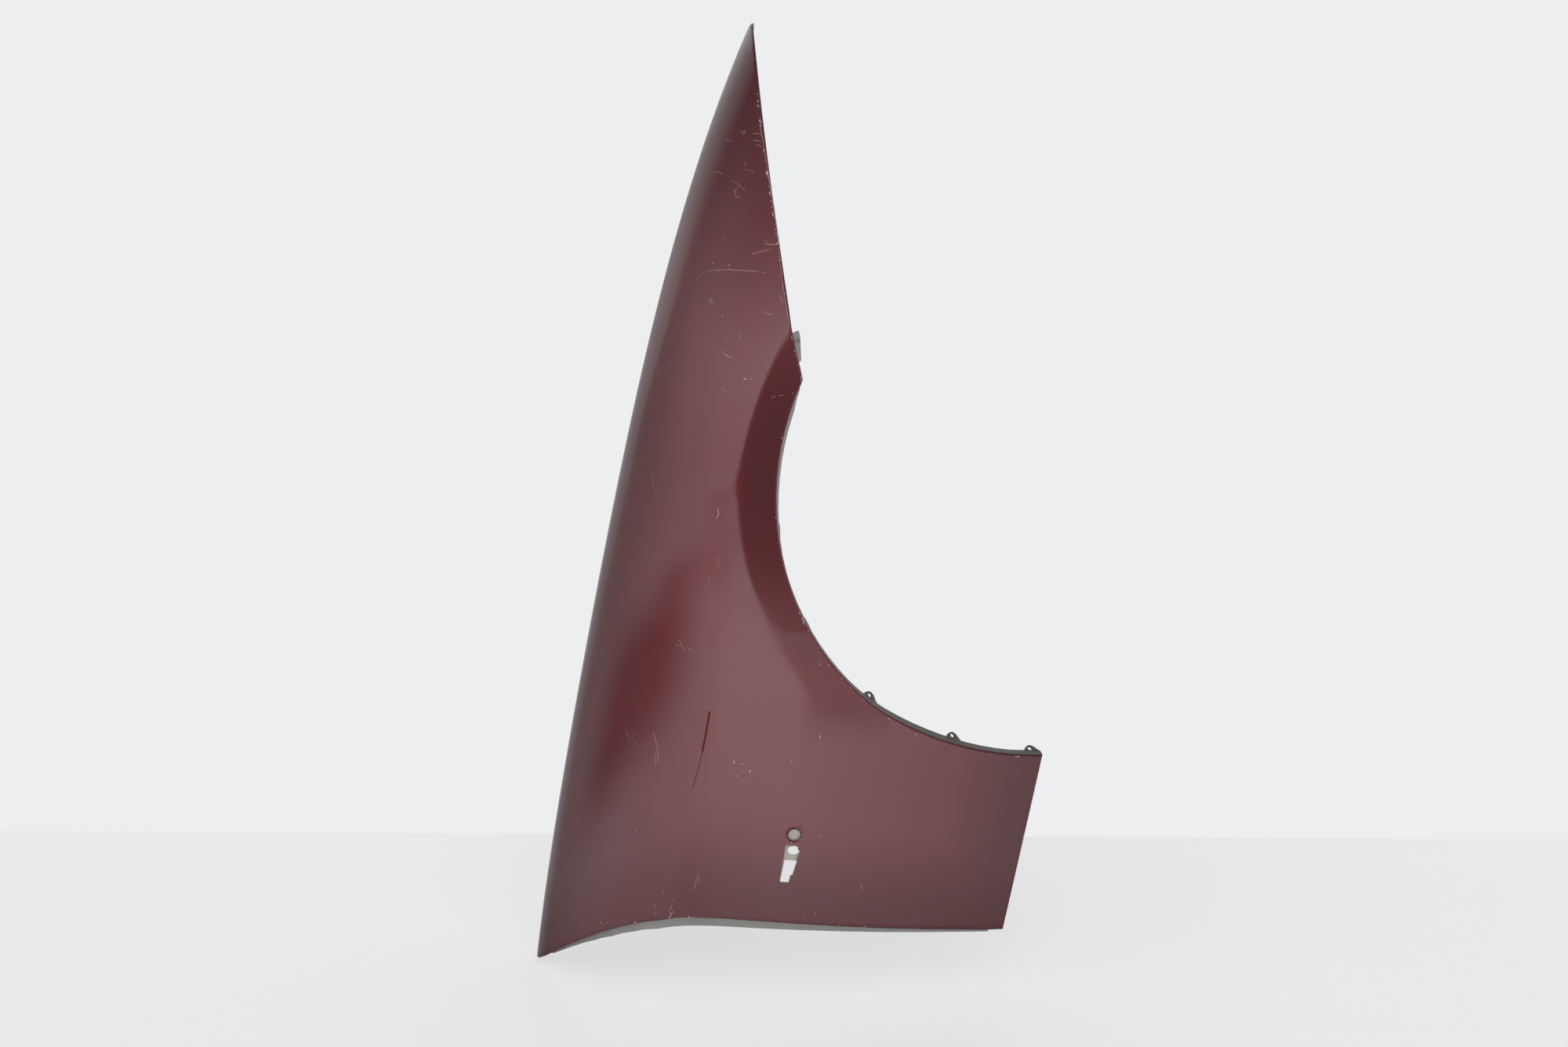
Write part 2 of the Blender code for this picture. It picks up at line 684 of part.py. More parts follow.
def add_bonnet_flange(bm, line):
    """A wall down from the bonnet edge and a ledge inboard, wide at its screw pads."""
    low = BONNET_FLANGE_CLEAR - REAR_TOP_BACK
    line = trim_line(line, lambda co: co.x, low, BONNET_FLANGE_FRONT)
    half = PAD_LENGTH / 2
    for place in PAD_PLACES:
        offsets = (-half - PAD_FADE, -half, 0, half, half + PAD_FADE)
        split_line(bm, line, lambda co: co.x, [place + offset for offset in offsets])
    tops = [v.co.copy() for v in line]
    lean = BONNET_WALL_LEAN
    rows = (
        lambda co, seat: Vector((co.x, co.y + lean, seat + BONNET_BEND)),
        lambda co, seat: Vector((co.x, co.y + lean + BONNET_BEND, seat)),
        lambda co, seat: Vector((co.x, co.y + lean + lerp(LEDGE_WIDTH, PAD_WIDTH, pad_share(co.x)), seat)),
    )
    for row in rows:
        line = extrude_line(bm, line, [row(co, seat_height(co.x)) for co in tops])


def door_strip_reach(z):
    """Reach of the strip behind the door: widest at the body line, less towards both ends."""
    low, high = sill_corner().y, rear_top().y
    middle = line_height(-DOOR_EDGE_BACK)
    if z < middle:
        return lerp(DOOR_STRIP_FOOT_REACH, DOOR_STRIP_REACH, smooth(z, low, middle))
    return lerp(DOOR_STRIP_TOP_REACH, DOOR_STRIP_REACH, (high - z) / (high - middle))


def add_door_flange(bm, line):
    """A step inboard along the door edge, then a strip that reaches back under the door."""
    low, high = sill_corner().y, rear_top().y
    line = trim_line(line, lambda co: co.z, low + DOOR_FLANGE_CLEAR, high - DOOR_FLANGE_CLEAR)
    step, strip = [], []
    for k, v in enumerate(line):
        before, after = line[max(0, k - 1)].co, line[min(len(line) - 1, k + 1)].co
        along = (before - after).normalized()
        inward = square_in(v.co)
        back = inward.cross(along).normalized()
        if back.x > 0:
            back = -back
        deep = v.co + inward * (DOOR_STEP_DEPTH - EDGE_RADIUS)
        step.append(deep)
        strip.append(deep + back * door_strip_reach(v.co.z))
    extrude_line(bm, extrude_line(bm, line, step), strip)


def add_sill_flange(bm, line):
    """A return under the panel that is screwed up against the sill."""
    low = SILL_FLANGE_CLEAR - DOOR_EDGE_BACK
    high = arch_point(ARCH_REAR_ANGLE).x - SILL_FLANGE_CLEAR
    line = trim_line(line, lambda co: co.x, low, high)
    extrude_line(bm, line, [v.co + INBOARD * (SILL_FLANGE_DEPTH - EDGE_RADIUS) for v in line])


def add_lamp_return(bm, line):
    """A short return behind the lamp edge."""
    low, high = lamp_corner().x + BUMPER_FLANGE_CLEAR, TIP_FORWARD - LAMP_RETURN_CLEAR
    line = trim_line(line, lambda co: co.x, low, high)
    reach = LAMP_RETURN_DEPTH - EDGE_RADIUS
    extrude_line(bm, line, [v.co + INBOARD * reach for v in line])


def bumper_frame():
    """Ends of the bumper edge as 3-D points on the skin."""
    return on_skin(arch_point(ARCH_FRONT_ANGLE)), on_skin(lamp_corner())


def add_bumper_flange(bm, line):
    """A leaning flange behind the bumper corner, with a rounded screw ear at its upper end."""
    start, end = bumper_frame()
    line = trim_line(line, lambda co: co.x, start.x, end.x + EDGE_RADIUS)
    span = end.x - start.x
    round_from, round_over = BUMPER_TAB_ROUND_SHARES
    split_line(bm, line, lambda co: co.x, [lerp(start.x, end.x, s) for s in (0.08, 0.8, 0.92)])
    line = trim_line(line, lambda co: co.x, start.x + span * 0.05, end.x)
    places = []
    for v in line:
        share = (v.co.x - start.x) / span
        rounding = math.sqrt(max(0.0, 1 - (max(0.0, share - round_from) / round_over) ** 2))
        taper = lerp(BUMPER_TAB_LEAST_SHARE, 1, smooth(share, 0, BUMPER_TAB_FULL_SHARE))
        reach = (BUMPER_FLANGE_DEPTH - EDGE_RADIUS) * taper * rounding
        places.append(v.co + bumper_direction(v.co) * reach)
    extrude_line(bm, line, places)


# Screw holes


def drill(bm, centre, axis, radius, length):
    """Adds one round cutter."""
    turn = Vector((0, 0, 1)).rotation_difference(axis).to_matrix().to_4x4()
    bmesh.ops.create_cone(bm, cap_ends=True, segments=HOLE_SIDES, radius1=radius, radius2=radius,
                          depth=length, matrix=Matrix.Translation(centre) @ turn)


def pad_centre(place):
    """Middle of a screw pad, on its upper face."""
    edge = Vector((place, bonnet_height(place)))
    wall = depth(edge.x, edge.y) + EDGE_RADIUS + BONNET_WALL_LEAN
    return Vector((place, wall + lerp(BONNET_BEND, PAD_WIDTH, 0.55), pad_height(place)))


def eyelet_centre(angle):
    """Middle of an eyelet's hole and the way that the hole points."""
    edge = on_skin(arch_point(angle))
    inward = Vector((-edge.x, 0, -edge.z)).normalized()
    start = edge + inward * EDGE_RADIUS + INBOARD * EDGE_RADIUS
    direction = arch_direction(edge)
    axis = (inward - direction * inward.dot(direction)).normalized()
    reach = ARCH_FLANGE_DEPTH + EYELET_HEIGHT - EYELET_HOLE_INSET - EDGE_RADIUS
    return start + direction * reach - axis * WALL / 2, axis


def sill_hole(share):
    place = lerp(sill_corner(), arch_point(ARCH_REAR_ANGLE), share)
    edge = on_skin(place)
    reach = lerp(EDGE_RADIUS + WALL, SILL_FLANGE_DEPTH, 0.55)
    return edge + Vector((0, reach, WALL / 2 - EDGE_RADIUS))


def bumper_hole():
    """Middle of the screw hole in the bumper flange, and its axis."""
    start, end = bumper_frame()
    base = lerp(start, end, BUMPER_HOLE_SHARE)
    direction = bumper_direction(base)
    along = (end - start).normalized()
    axis = direction.cross(along).normalized()
    return base + direction * (BUMPER_FLANGE_DEPTH - BUMPER_HOLE_INSET), axis


def make_screw_holes():
    """One cutter object with a drill for every fixing hole."""
    bm = bmesh.new()
    deep = 2 * (WALL + CUT_OVERRUN)
    for place in PAD_PLACES:
        drill(bm, pad_centre(place), Vector((0, 0, 1)), PAD_HOLE_RADIUS, deep)
    for angle in EYELET_ANGLES:
        centre, axis = eyelet_centre(angle)
        drill(bm, centre, axis, EYELET_HOLE_RADIUS, deep)
    for share in SILL_HOLE_SHARES:
        drill(bm, sill_hole(share), Vector((0, 0, 1)), SILL_HOLE_RADIUS, deep)
    centre, axis = bumper_hole()
    drill(bm, centre, axis, BUMPER_HOLE_RADIUS, deep)
    cutter = object_from(bm, "screw_hole_cutter")
    cutter.hide_render = True
    cutter.display_type = "WIRE"
    return cutter


# Objects


def material(name, colour, roughness, metallic):
    made = bpy.data.materials.new(name)
    made.use_nodes = True
    shader = made.node_tree.nodes["Principled BSDF"]
    shader.inputs["Base Color"].default_value = (*colour, 1)
    shader.inputs["Roughness"].default_value = roughness
    shader.inputs["Metallic"].default_value = metallic
    return made


def object_from(bm, name):
    mesh = bpy.data.meshes.new(name)
    bm.to_mesh(mesh)
    bm.free()
    made = bpy.data.objects.new(name, mesh)
    bpy.context.scene.collection.objects.link(made)
    return made


def thicken(obj, wall):
    """Gives a sheet its wall, on the side away from its face normals."""
    solid = obj.modifiers.new("wall", "SOLIDIFY")
    solid.thickness = wall
    solid.offset = -1
    solid.use_even_offset = True
    solid.use_quality_normals = True


def face_outwards(bm):
    """Makes the sheet's normals agree, with the skin facing away from the car."""
    bmesh.ops.recalc_face_normals(bm, faces=bm.faces)
    largest = max(bm.faces, key=lambda f: f.calc_area())
    if largest.normal.y > 0:
        bmesh.ops.reverse_faces(bm, faces=bm.faces)


def make_fender():
    bm = bmesh.new()
    edges = roll_edges(bm, build_skin(bm))
    add_arch_flange(bm, edges["arch"])
    add_bonnet_flange(bm, edges["bonnet"])
    add_door_flange(bm, edges["door"])
    add_sill_flange(bm, edges["sill"])
    add_lamp_return(bm, edges["lamp"])
    add_bumper_flange(bm, edges["bumper"])
    face_outwards(bm)
    fender = object_from(bm, "fender_skin")
    fender.data.materials.append(material(*PAINT))
    thicken(fender, WALL)
    cut = fender.modifiers.new("screw_holes", "BOOLEAN")
    cut.operation = "DIFFERENCE"
    cut.object = make_screw_holes()
    return fender


def make_bracket():
    """An L-shaped plate behind the slot, seated on the back of the pressed-in ring."""
    bm = bmesh.new()
    front = BRACKET_FRONT_REACH - LAMP_HOLE_BACK
    rear = -SLOT_FRONT_BACK - BRACKET_PLATE_LENGTH
    arm_end = -SLOT_FRONT_BACK - SLOT_LENGTH - BRACKET_OVERLAP
    top = SLOT_TOP_HEIGHT + BRACKET_OVERLAP
    bottom = SLOT_TOP_HEIGHT - SLOT_WIDE_WIDTH - BRACKET_OVERLAP
    outline = [
        Vector((front, top)), Vector((rear, top)), Vector((arm_end, top)),
        Vector((arm_end, top - BRACKET_ARM_END_WIDTH)), Vector((rear, top - BRACKET_ARM_WIDTH)),
        Vector((rear, bottom)), Vector((front, bottom)),
    ]
    inset = LAMP_RING_DEPTH + WALL + CLEARANCE
    border = [bm.verts.new(on_skin(p, inset)) for p in outline]
    turn = 360 / RING_SIDES
    middle = Vector((-SLOT_FRONT_BACK - BRACKET_HOLE_SETBACK, SLOT_TOP_HEIGHT - BRACKET_HOLE_DROP))
    size = Vector((BRACKET_HOLE_LENGTH, BRACKET_HOLE_WIDTH)) / 2
    oval = [middle + polar(1, k * turn) * size for k in range(RING_SIDES)]
    fill_patch(bm, border, [[(p, inset) for p in oval]], [], [])
    face_outwards(bm)
    bracket = object_from(bm, "side_lamp_bracket")
    bracket.data.materials.append(material(*RAW_GREY))
    thicken(bracket, BRACKET_WALL)
    return bracket


def mount_point():
    """The part's origin: on the middle pad's under face, which sits on the car, clear of its hole."""
    return pad_centre(PAD_PLACES[len(PAD_PLACES) // 2]) + Vector((MOUNT_OFFSET, 0, -WALL))


def build():
    for old in list(bpy.data.objects):
        bpy.data.objects.remove(old)
    datum = bpy.data.objects.new("arch_centre", None)
    bpy.context.scene.collection.objects.link(datum)
    datum.location = -mount_point()
    make_fender()
    make_bracket()
    for obj in bpy.data.objects:
        if obj.type == "MESH":
            obj.parent = datum
            obj.data.shade_smooth()
            obj.data.set_sharp_from_angle(angle=math.radians(35))
    bpy.context.view_layer.update()


build()
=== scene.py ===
import math
import bpy
import numpy as np
from mathutils import Matrix, Quaternion, Vector
from mathutils.kdtree import KDTree


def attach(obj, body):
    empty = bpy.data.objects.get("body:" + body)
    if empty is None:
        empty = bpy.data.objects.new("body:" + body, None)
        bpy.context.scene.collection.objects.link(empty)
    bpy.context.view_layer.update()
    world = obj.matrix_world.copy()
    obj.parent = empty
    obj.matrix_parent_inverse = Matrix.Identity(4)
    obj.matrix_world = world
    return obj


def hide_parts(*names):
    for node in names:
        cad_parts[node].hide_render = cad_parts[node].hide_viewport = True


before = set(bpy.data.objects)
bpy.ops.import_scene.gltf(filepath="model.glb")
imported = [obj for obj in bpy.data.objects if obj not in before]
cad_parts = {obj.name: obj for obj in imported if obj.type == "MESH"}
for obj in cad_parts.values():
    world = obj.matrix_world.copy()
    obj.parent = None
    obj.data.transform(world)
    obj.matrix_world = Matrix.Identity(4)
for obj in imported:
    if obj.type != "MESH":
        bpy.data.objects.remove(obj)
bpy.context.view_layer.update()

print("frame loaded")

fromEnds = ("From Min", "From Max")    # the two ends of a Map Range node, going in
toEnds = ("To Min", "To Max")          # and coming out
soft = {"interpolation_type": "SMOOTHSTEP"}    # a Map Range that eases in and out


def hexToLinear(code):
    # sRGB hex to the linear colour that Blender wants
    parts = [int(code[i:i + 2], 16) / 255 for i in (1, 3, 5)]
    return [p / 12.92 if p <= 0.04045 else ((p + 0.055) / 1.055) ** 2.4 for p in parts]


def addNode(tree, kind, values=None, out=0):
    # a new node. Each value goes to a field of the node or to an input: a socket is linked, a hex code
    # becomes a colour, and a pair of names takes a pair of values. What comes back is one output.
    node = tree.nodes.new("ShaderNode" + kind)
    given = []
    for key, value in (values or {}).items():
        given += zip(key, value) if isinstance(key, tuple) else [(key, value)]
    for key, value in given:
        if not isinstance(key, int) and key not in node.inputs.keys():
            setattr(node, key, value)
        elif isinstance(value, bpy.types.NodeSocket):
            tree.links.new(value, node.inputs[key])
        elif isinstance(value, str):
            node.inputs[key].default_value = (*hexToLinear(value), 1)
        else:
            node.inputs[key].default_value = value
    return node.outputs[out] if node.outputs else node


# the panel's own surface, on the same curves as the solid. Lengths are in metres from the middle of the
# wheel arch, x forwards on the car and z up, and angles in degrees
panelShape = {
    "archCentre": (0.157, -0.17082, -0.54615),    # where the middle of the wheel arch is in the frame
    "archRadius": 0.368, "archRearFlat": 0.0045, "archRearAngles": (148.0, 186.5),
    "flareWidth": 0.044, "flareDrop": 0.0065, "flareSoftness": 0.006, "flareAngles": (118.0, 150.0),
    "rearTop": (-0.786, 0.617), "tip": (0.5535, 0.4577),
    "bonnetCrown": 0.0365, "bonnetSkew": 0.466, "bonnetLift": 0.438,
    "shoulder": 0.385, "noseSweep": 0.150, "noseFrom": -0.050, "noseSweepPower": 2.2,
    "rollDepths": (0.150, 0.095), "rollPower": 2.4, "rollRound": 0.35, "rollFull": 0.995,
    "sillDrop": 0.030, "sillTuck": 0.038, "tuckPower": 2.4, "doorEdge": 0.6252, "doorTaper": 0.006,
    "doorSweepFrom": 0.360, "doorSweepPower": 2.42, "edgeRadius": 0.003,
    "lineLow": (-0.330, 0.416), "lineRise": 0.020, "lineRiseSpan": 0.310,
    "lineHeight": 0.0042, "lineSpread": 0.050, "lineRadius": 0.005, "lineFade": (0.060, 0.260),
}


def smoothStep(value, low, high):
    share = np.clip((value - low) / (high - low), 0, 1)
    return share * share * (3 - 2 * share)


def bonnetHeight(x):
    # the bonnet edge, a bowed line from the rear corner to the tip
    (x0, z0), (x1, z1) = panelShape["rearTop"], panelShape["tip"]
    share = (x - x0) / (x1 - x0)
    lean = 2 * share - 1
    bow = 1 + panelShape["bonnetSkew"] * lean + panelShape["bonnetLift"] * lean ** 2
    return z0 + (z1 - z0) * share + 4 * share * (1 - share) * panelShape["bonnetCrown"] * bow


def archRadius(angle):
    start, end = panelShape["archRearAngles"]
    share = np.clip((angle - start) / (end - start), 0, 1)
    return panelShape["archRadius"] - panelShape["archRearFlat"] * 4 * share * (1 - share)


def skinDepth(x, z):
    # how far inboard the outer face lies, over a place in the side view
    shape = panelShape
    x, z = np.asarray(x, float), np.asarray(z, float)
    nose = np.maximum(0, (x - shape["noseFrom"]) / (shape["tip"][0] - shape["noseFrom"]))
    depth = shape["noseSweep"] * nose ** shape["noseSweepPower"]
    depth = depth + shape["doorTaper"] * (np.maximum(0, -x) / shape["doorEdge"]) ** 2
    # the roll over to the bonnet
    above = np.clip((z - shape["shoulder"]) / (bonnetHeight(x) - shape["shoulder"]), 0, None)
    roundEnd = 1 - np.sqrt(np.maximum(0, 1 - shape["rollFull"] * above ** 2))
    rear, front = shape["rollDepths"]
    roll = above ** shape["rollPower"] * (1 - shape["rollRound"]) + roundEnd * shape["rollRound"]
    depth = depth + (rear + (front - rear) * nose) * roll
    # the tuck-in towards the sill
    below = np.maximum(0, (shape["shoulder"] - z) / (shape["shoulder"] + shape["sillDrop"]))
    depth = depth + shape["sillTuck"] * below ** shape["tuckPower"]
    # the lip that slopes in towards the arch
    angle = np.degrees(np.arctan2(z, x)) % 360
    inside = shape["flareWidth"] - (np.hypot(x, z) - archRadius(angle))
    slope = (inside + np.sqrt(inside ** 2 + shape["flareSoftness"] ** 2)) / 2 / shape["flareWidth"]
    depth = depth + (1 - smoothStep(angle, *shape["flareAngles"])) * shape["flareDrop"] * slope
    # the crease line, which stands out and fades over the arch
    lowX, lowZ = shape["lineLow"]
    lineZ = lowZ + shape["lineRise"] * ((x - lowX) / shape["lineRiseSpan"]) ** 2
    away = np.sqrt((z - lineZ) ** 2 + shape["lineRadius"] ** 2) - shape["lineRadius"]
    line = shape["lineHeight"] * np.exp(-away / shape["lineSpread"])
    return depth - smoothStep(-x, *shape["lineFade"]) * line


def doorEdge(z):
    # the door edge, upright below and sweeping back to the rear top corner
    (rearX, rearZ), base = panelShape["rearTop"], panelShape["doorSweepFrom"]
    swept = np.clip((z - base) / (rearZ - base), 0, None) ** panelShape["doorSweepPower"]
    return panelShape["edgeRadius"] - panelShape["doorEdge"] + (rearX + panelShape["doorEdge"]) * swept


def skinNormal(x, z, step=0.0002):
    along = (skinDepth(x + step, z) - skinDepth(x - step, z)) / (2 * step)
    up = (skinDepth(x, z + step) - skinDepth(x, z - step)) / (2 * step)
    normal = np.stack([along, -np.ones_like(along), up], -1)
    return normal / np.linalg.norm(normal, axis=-1, keepdims=True)


cameraView = {
    "turn": 12.0, "tilt": 5.0, "roll": 7.0,          # degrees, against the car's own axes
    "target": (-0.0710, 0.0, 0.3508),                # metres from the middle of the arch
    "distance": 1.942, "lens": 35.0, "sensor": 36.0, "farthest": 50,
    "photoSize": (2000, 1335),
    # for finding the place under a pixel
    "panelEnds": (-0.79, 0.552), "underBonnet": 0.0005, "rounds": 40, "stride": 0.6,
}


def cameraAxes():
    turn, tilt, roll = (math.radians(cameraView[k]) for k in ("turn", "tilt", "roll"))
    back = Vector((math.sin(turn), -math.cos(turn) * math.cos(tilt), math.sin(tilt) * math.cos(turn)))
    back.normalize()
    plumb = Vector((math.cos(roll), 0, math.sin(roll)))    # upwards in the photograph
    up = (plumb - back * plumb.dot(back)).normalized()
    return up.cross(back), up, back, plumb


right, up, back, plumb = cameraAxes()
archCentre = Vector(panelShape["archCentre"])
cameraPlace = Vector(cameraView["target"]) + back * cameraView["distance"]
bpy.ops.object.select_all(action="DESELECT")
bpy.ops.object.camera_add()
camera = bpy.context.object
camera.name = "photoCamera"
camera.data.lens = cameraView["lens"]
camera.data.sensor_width = cameraView["sensor"]
camera.data.sensor_fit = "HORIZONTAL"
camera.data.clip_end = cameraView["farthest"]
turnMatrix = Matrix((right, up, back)).transposed().to_4x4()
camera.matrix_world = Matrix.Translation(cameraPlace + archCentre) @ turnMatrix
bpy.context.scene.camera = camera
bpy.context.scene.view_settings.view_transform = "Standard"    # whites stay as the photograph has them
print("camera set")


def onPanel(px, py):
    # the side-view place on the panel that lies under a pixel of the photograph
    wide, high = cameraView["photoSize"]
    focal = wide * cameraView["lens"] / cameraView["sensor"]
    ray = -back + right * ((px - wide / 2) / focal) - up * ((py - high / 2) / focal)
    reach = cameraView["distance"]
    rearEnd, frontEnd = cameraView["panelEnds"]
    for _ in range(cameraView["rounds"]):
        place = cameraPlace + ray * reach
        x = min(max(place.x, rearEnd), frontEnd)
        z = min(place.z, float(bonnetHeight(x)) - cameraView["underBonnet"])
        reach += (float(skinDepth(x, z)) - place.y) / ray.y * cameraView["stride"]
    return place.x, place.z


# fender panel: the solid's mesh, with a finer outer face laid on the true curves. Lengths are in metres
panelMesh = {
    "merge": 0.000005,
    "cuts": 3,                 # new points along each edge of the outer face
    "onFace": 0.00004,         # how close a point is to count as on the outer face
    "bendReach": 0.0045,       # the rolled edge lies this near the outline
    "leastFacing": -0.15,      # how far a face may turn away from the outside and still be painted
    "paintDepth": 0.0036,      # how far behind the outer face the paint reaches round the edge
    "smoothAngle": 62.0,       # degrees
    # the reach of the door strip and of its smoothing
    "doorBand": 0.010, "stripBehind": 0.020, "doorFade": 0.090,
    "edgeSamples": 10,
    # the door strip tapers away between these heights, by this much
    "stripTuck": 0.0065, "stripTuckFrom": 0.500, "stripTuckTo": 0.600, "stripTop": 0.611,
    "stripNear": 0.003, "stripDeep": (0.003, 0.009),
}


def makePanel():
    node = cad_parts["fender_skin"]
    bpy.ops.object.select_all(action="DESELECT")
    node.select_set(True)
    bpy.context.view_layer.objects.active = node
    bpy.ops.object.duplicate()
    panel = bpy.context.object
    panel.name = "fenderPanel"
    for key in list(panel.keys()):
        del panel[key]
    world = panel.matrix_world.copy()
    panel.parent = None
    panel.matrix_world = world
    bpy.ops.object.mode_set(mode="EDIT")
    bpy.ops.mesh.select_all(action="SELECT")
    bpy.ops.mesh.remove_doubles(threshold=panelMesh["merge"])
    bpy.ops.mesh.customdata_custom_splitnormals_clear()
    bpy.ops.mesh.select_all(action="DESELECT")
    bpy.ops.object.mode_set(mode="OBJECT")
    return panel


def meshPoints(mesh):
    points = np.empty(len(mesh.vertices) * 3)
    mesh.vertices.foreach_get("co", points)
    return points.reshape(-1, 3) - np.array(archCentre)


def placePoints(mesh, points):
    mesh.vertices.foreach_set("co", (points + np.array(archCentre)).ravel())
    mesh.update()


def facePlaces(mesh):
    # for every face: its middle, how far that lies behind the outer face, and how far it faces outwards
    centres = np.empty(len(mesh.polygons) * 3)
    normals = np.empty(len(mesh.polygons) * 3)
    mesh.polygons.foreach_get("center", centres)
    mesh.polygons.foreach_get("normal", normals)
    centres = centres.reshape(-1, 3) - np.array(archCentre)
    normals = normals.reshape(-1, 3)
    outward = skinNormal(centres[:, 0], centres[:, 2])
    behind = (centres[:, 1] - skinDepth(centres[:, 0], centres[:, 2])) * -outward[:, 1]
    return centres, behind, (normals * outward).sum(1)


def refineOuterFace(panel):
    mesh = panel.data
    points = meshPoints(mesh)
    near = np.abs(points[:, 1] - skinDepth(points[:, 0], points[:, 2])) < panelMesh["onFace"]
    outer = [all(near[v] for v in face.vertices) for face in mesh.polygons]
    # the rolled edge and the strip behind the door edge are divided with it
    centres, behind, facing = facePlaces(mesh)
    bend = (behind < panelMesh["bendReach"]) & (facing > panelMesh["leastFacing"])
    atDoor = centres[:, 0] < doorEdge(centres[:, 2]) + panelMesh["doorBand"]
    bend = bend | (atDoor & (behind < panelMesh["stripBehind"]))
    # the door edge's own points, lowest first
    onEdge = near & (np.abs(points[:, 0] - doorEdge(points[:, 2])) < panelMesh["onFace"])
    stations = points[onEdge][np.argsort(points[onEdge][:, 2])]
    for face, isOuter, isBend in zip(mesh.polygons, outer, bend):
        face.select = bool(isOuter or isBend)
    skinLayer = mesh.attributes.new("outerFace", "FLOAT", "FACE")
    skinLayer.data.foreach_set("value", [float(o) for o in outer])
    bpy.context.tool_settings.mesh_select_mode = (False, False, True)
    bpy.ops.object.mode_set(mode="EDIT")
    bpy.ops.mesh.subdivide(number_cuts=panelMesh["cuts"])
    bpy.ops.mesh.select_all(action="DESELECT")
    bpy.ops.object.mode_set(mode="OBJECT")
    # the new points go onto the curves, the door edge first
    points = meshPoints(mesh)
    chord = np.interp(points[:, 2], stations[:, 2], stations[:, 0])
    inRange = (points[:, 2] > stations[0, 2]) & (points[:, 2] < stations[-1, 2])
    share = 1 - smoothStep(points[:, 0] - chord, 0.0, panelMesh["doorFade"])
    points[:, 0] += np.where(inRange, (doorEdge(points[:, 2]) - chord) * share, 0)
    flags = np.empty(len(mesh.polygons))
    mesh.attributes["outerFace"].data.foreach_get("value", flags)
    onSkin = np.zeros(len(points), bool)
    for face, flag in zip(mesh.polygons, flags > 0.5):
        if flag:
            onSkin[list(face.vertices)] = True
    points[onSkin, 1] = skinDepth(points[onSkin, 0], points[onSkin, 2])
    placePoints(mesh, points)
    return flags > 0.5


def tuckDoorStrip(panel):
    # towards the rear top corner the door strip tapers away behind the edge
    points = meshPoints(panel.data)
    x, y, z = points.T
    share = smoothStep(z, panelMesh["stripTuckFrom"], panelMesh["stripTuckTo"])
    deep = smoothStep(y - skinDepth(x, z), *panelMesh["stripDeep"])
    atStrip = (x < doorEdge(z) + panelMesh["stripNear"]) & (z > panelMesh["stripTuckFrom"])
    atStrip = atStrip & (z < panelMesh["stripTop"])
    points[:, 0] += np.where(atStrip, panelMesh["stripTuck"] * share * deep, 0)
    placePoints(panel.data, points)


archFlange = {
    "earAngles": (184.6, 166.2, 145.2), "earBend": 35.0,          # degrees
    "earReach": 0.0165, "earLength": 0.7, "earSoft": 0.002, "earFrom": 0.0003,
    "stripDepth": 0.018, "rimNear": 0.002, "hingeNear": 0.001, "wheelFace": 0.365,
    "holeAt": 0.006, "holeReach": 0.0034,
    "frontAngle": 74.2, "frontTaper": 5.0, "frontLead": 2.0, "alongEnd": 100.0,    # degrees
    "frontTuck": 0.0035, "alongTuck": 0.0015, "frontNear": 0.001, "frontDeep": (0.003, 0.008),
}


def bendEars(panel):
    # the liner's ears stand turned towards the camera, so that daylight shows through their holes
    flange = archFlange
    points = meshPoints(panel.data)
    x, y, z = points.T.copy()
    radius, turn = np.hypot(x, z), np.degrees(np.arctan2(z, x)) % 360
    rim = archRadius(turn)
    cosine, sine = x / radius, z / radius
    behind = y - skinDepth(rim * cosine, rim * sine)
    beyond = behind - flange["stripDepth"]
    for angle in flange["earAngles"]:
        across = np.radians(turn - angle) * rim
        near = (np.abs(across) < flange["earReach"]) & (radius < rim + flange["rimNear"])
        base = near & (np.abs(beyond) < flange["hingeNear"])
        hinge = radius[base].min() if base.any() else flange["wheelFace"]
        # the ear gets shorter, and its hole moves with it but stays round
        isHole = np.hypot(across, beyond - flange["holeAt"]) < flange["holeReach"]
        holeLength = flange["earLength"] * flange["holeAt"] + beyond - flange["holeAt"]
        length = np.where(isHole, holeLength, flange["earLength"] * beyond)
        bend = np.radians(flange["earBend"]) * smoothStep(beyond, 0, flange["earSoft"])
        inward = hinge - radius
        newY = y - beyond + length * np.cos(bend) - inward * np.sin(bend)
        newRadius = hinge - length * np.sin(bend) - inward * np.cos(bend)
        moved = near & (beyond > flange["earFrom"])
        points[moved] = np.stack([newRadius * cosine, newY, newRadius * sine], -1)[moved]
    # the flange's front end tapers away behind the lip
    start = flange["frontAngle"]
    hide = flange["frontTuck"] * (1 - smoothStep(turn, start, start + flange["frontTaper"]))
    hide = hide + flange["alongTuck"] * (1 - smoothStep(turn, start, flange["alongEnd"]))
    atFront = (turn > start - flange["frontLead"]) & (turn < flange["alongEnd"])
    atFront = atFront & (radius < rim + flange["frontNear"])
    push = np.where(atFront, hide * smoothStep(behind, *flange["frontDeep"]), 0)
    points[:, 0] += push * cosine
    points[:, 2] += push * sine
    placePoints(panel.data, points)


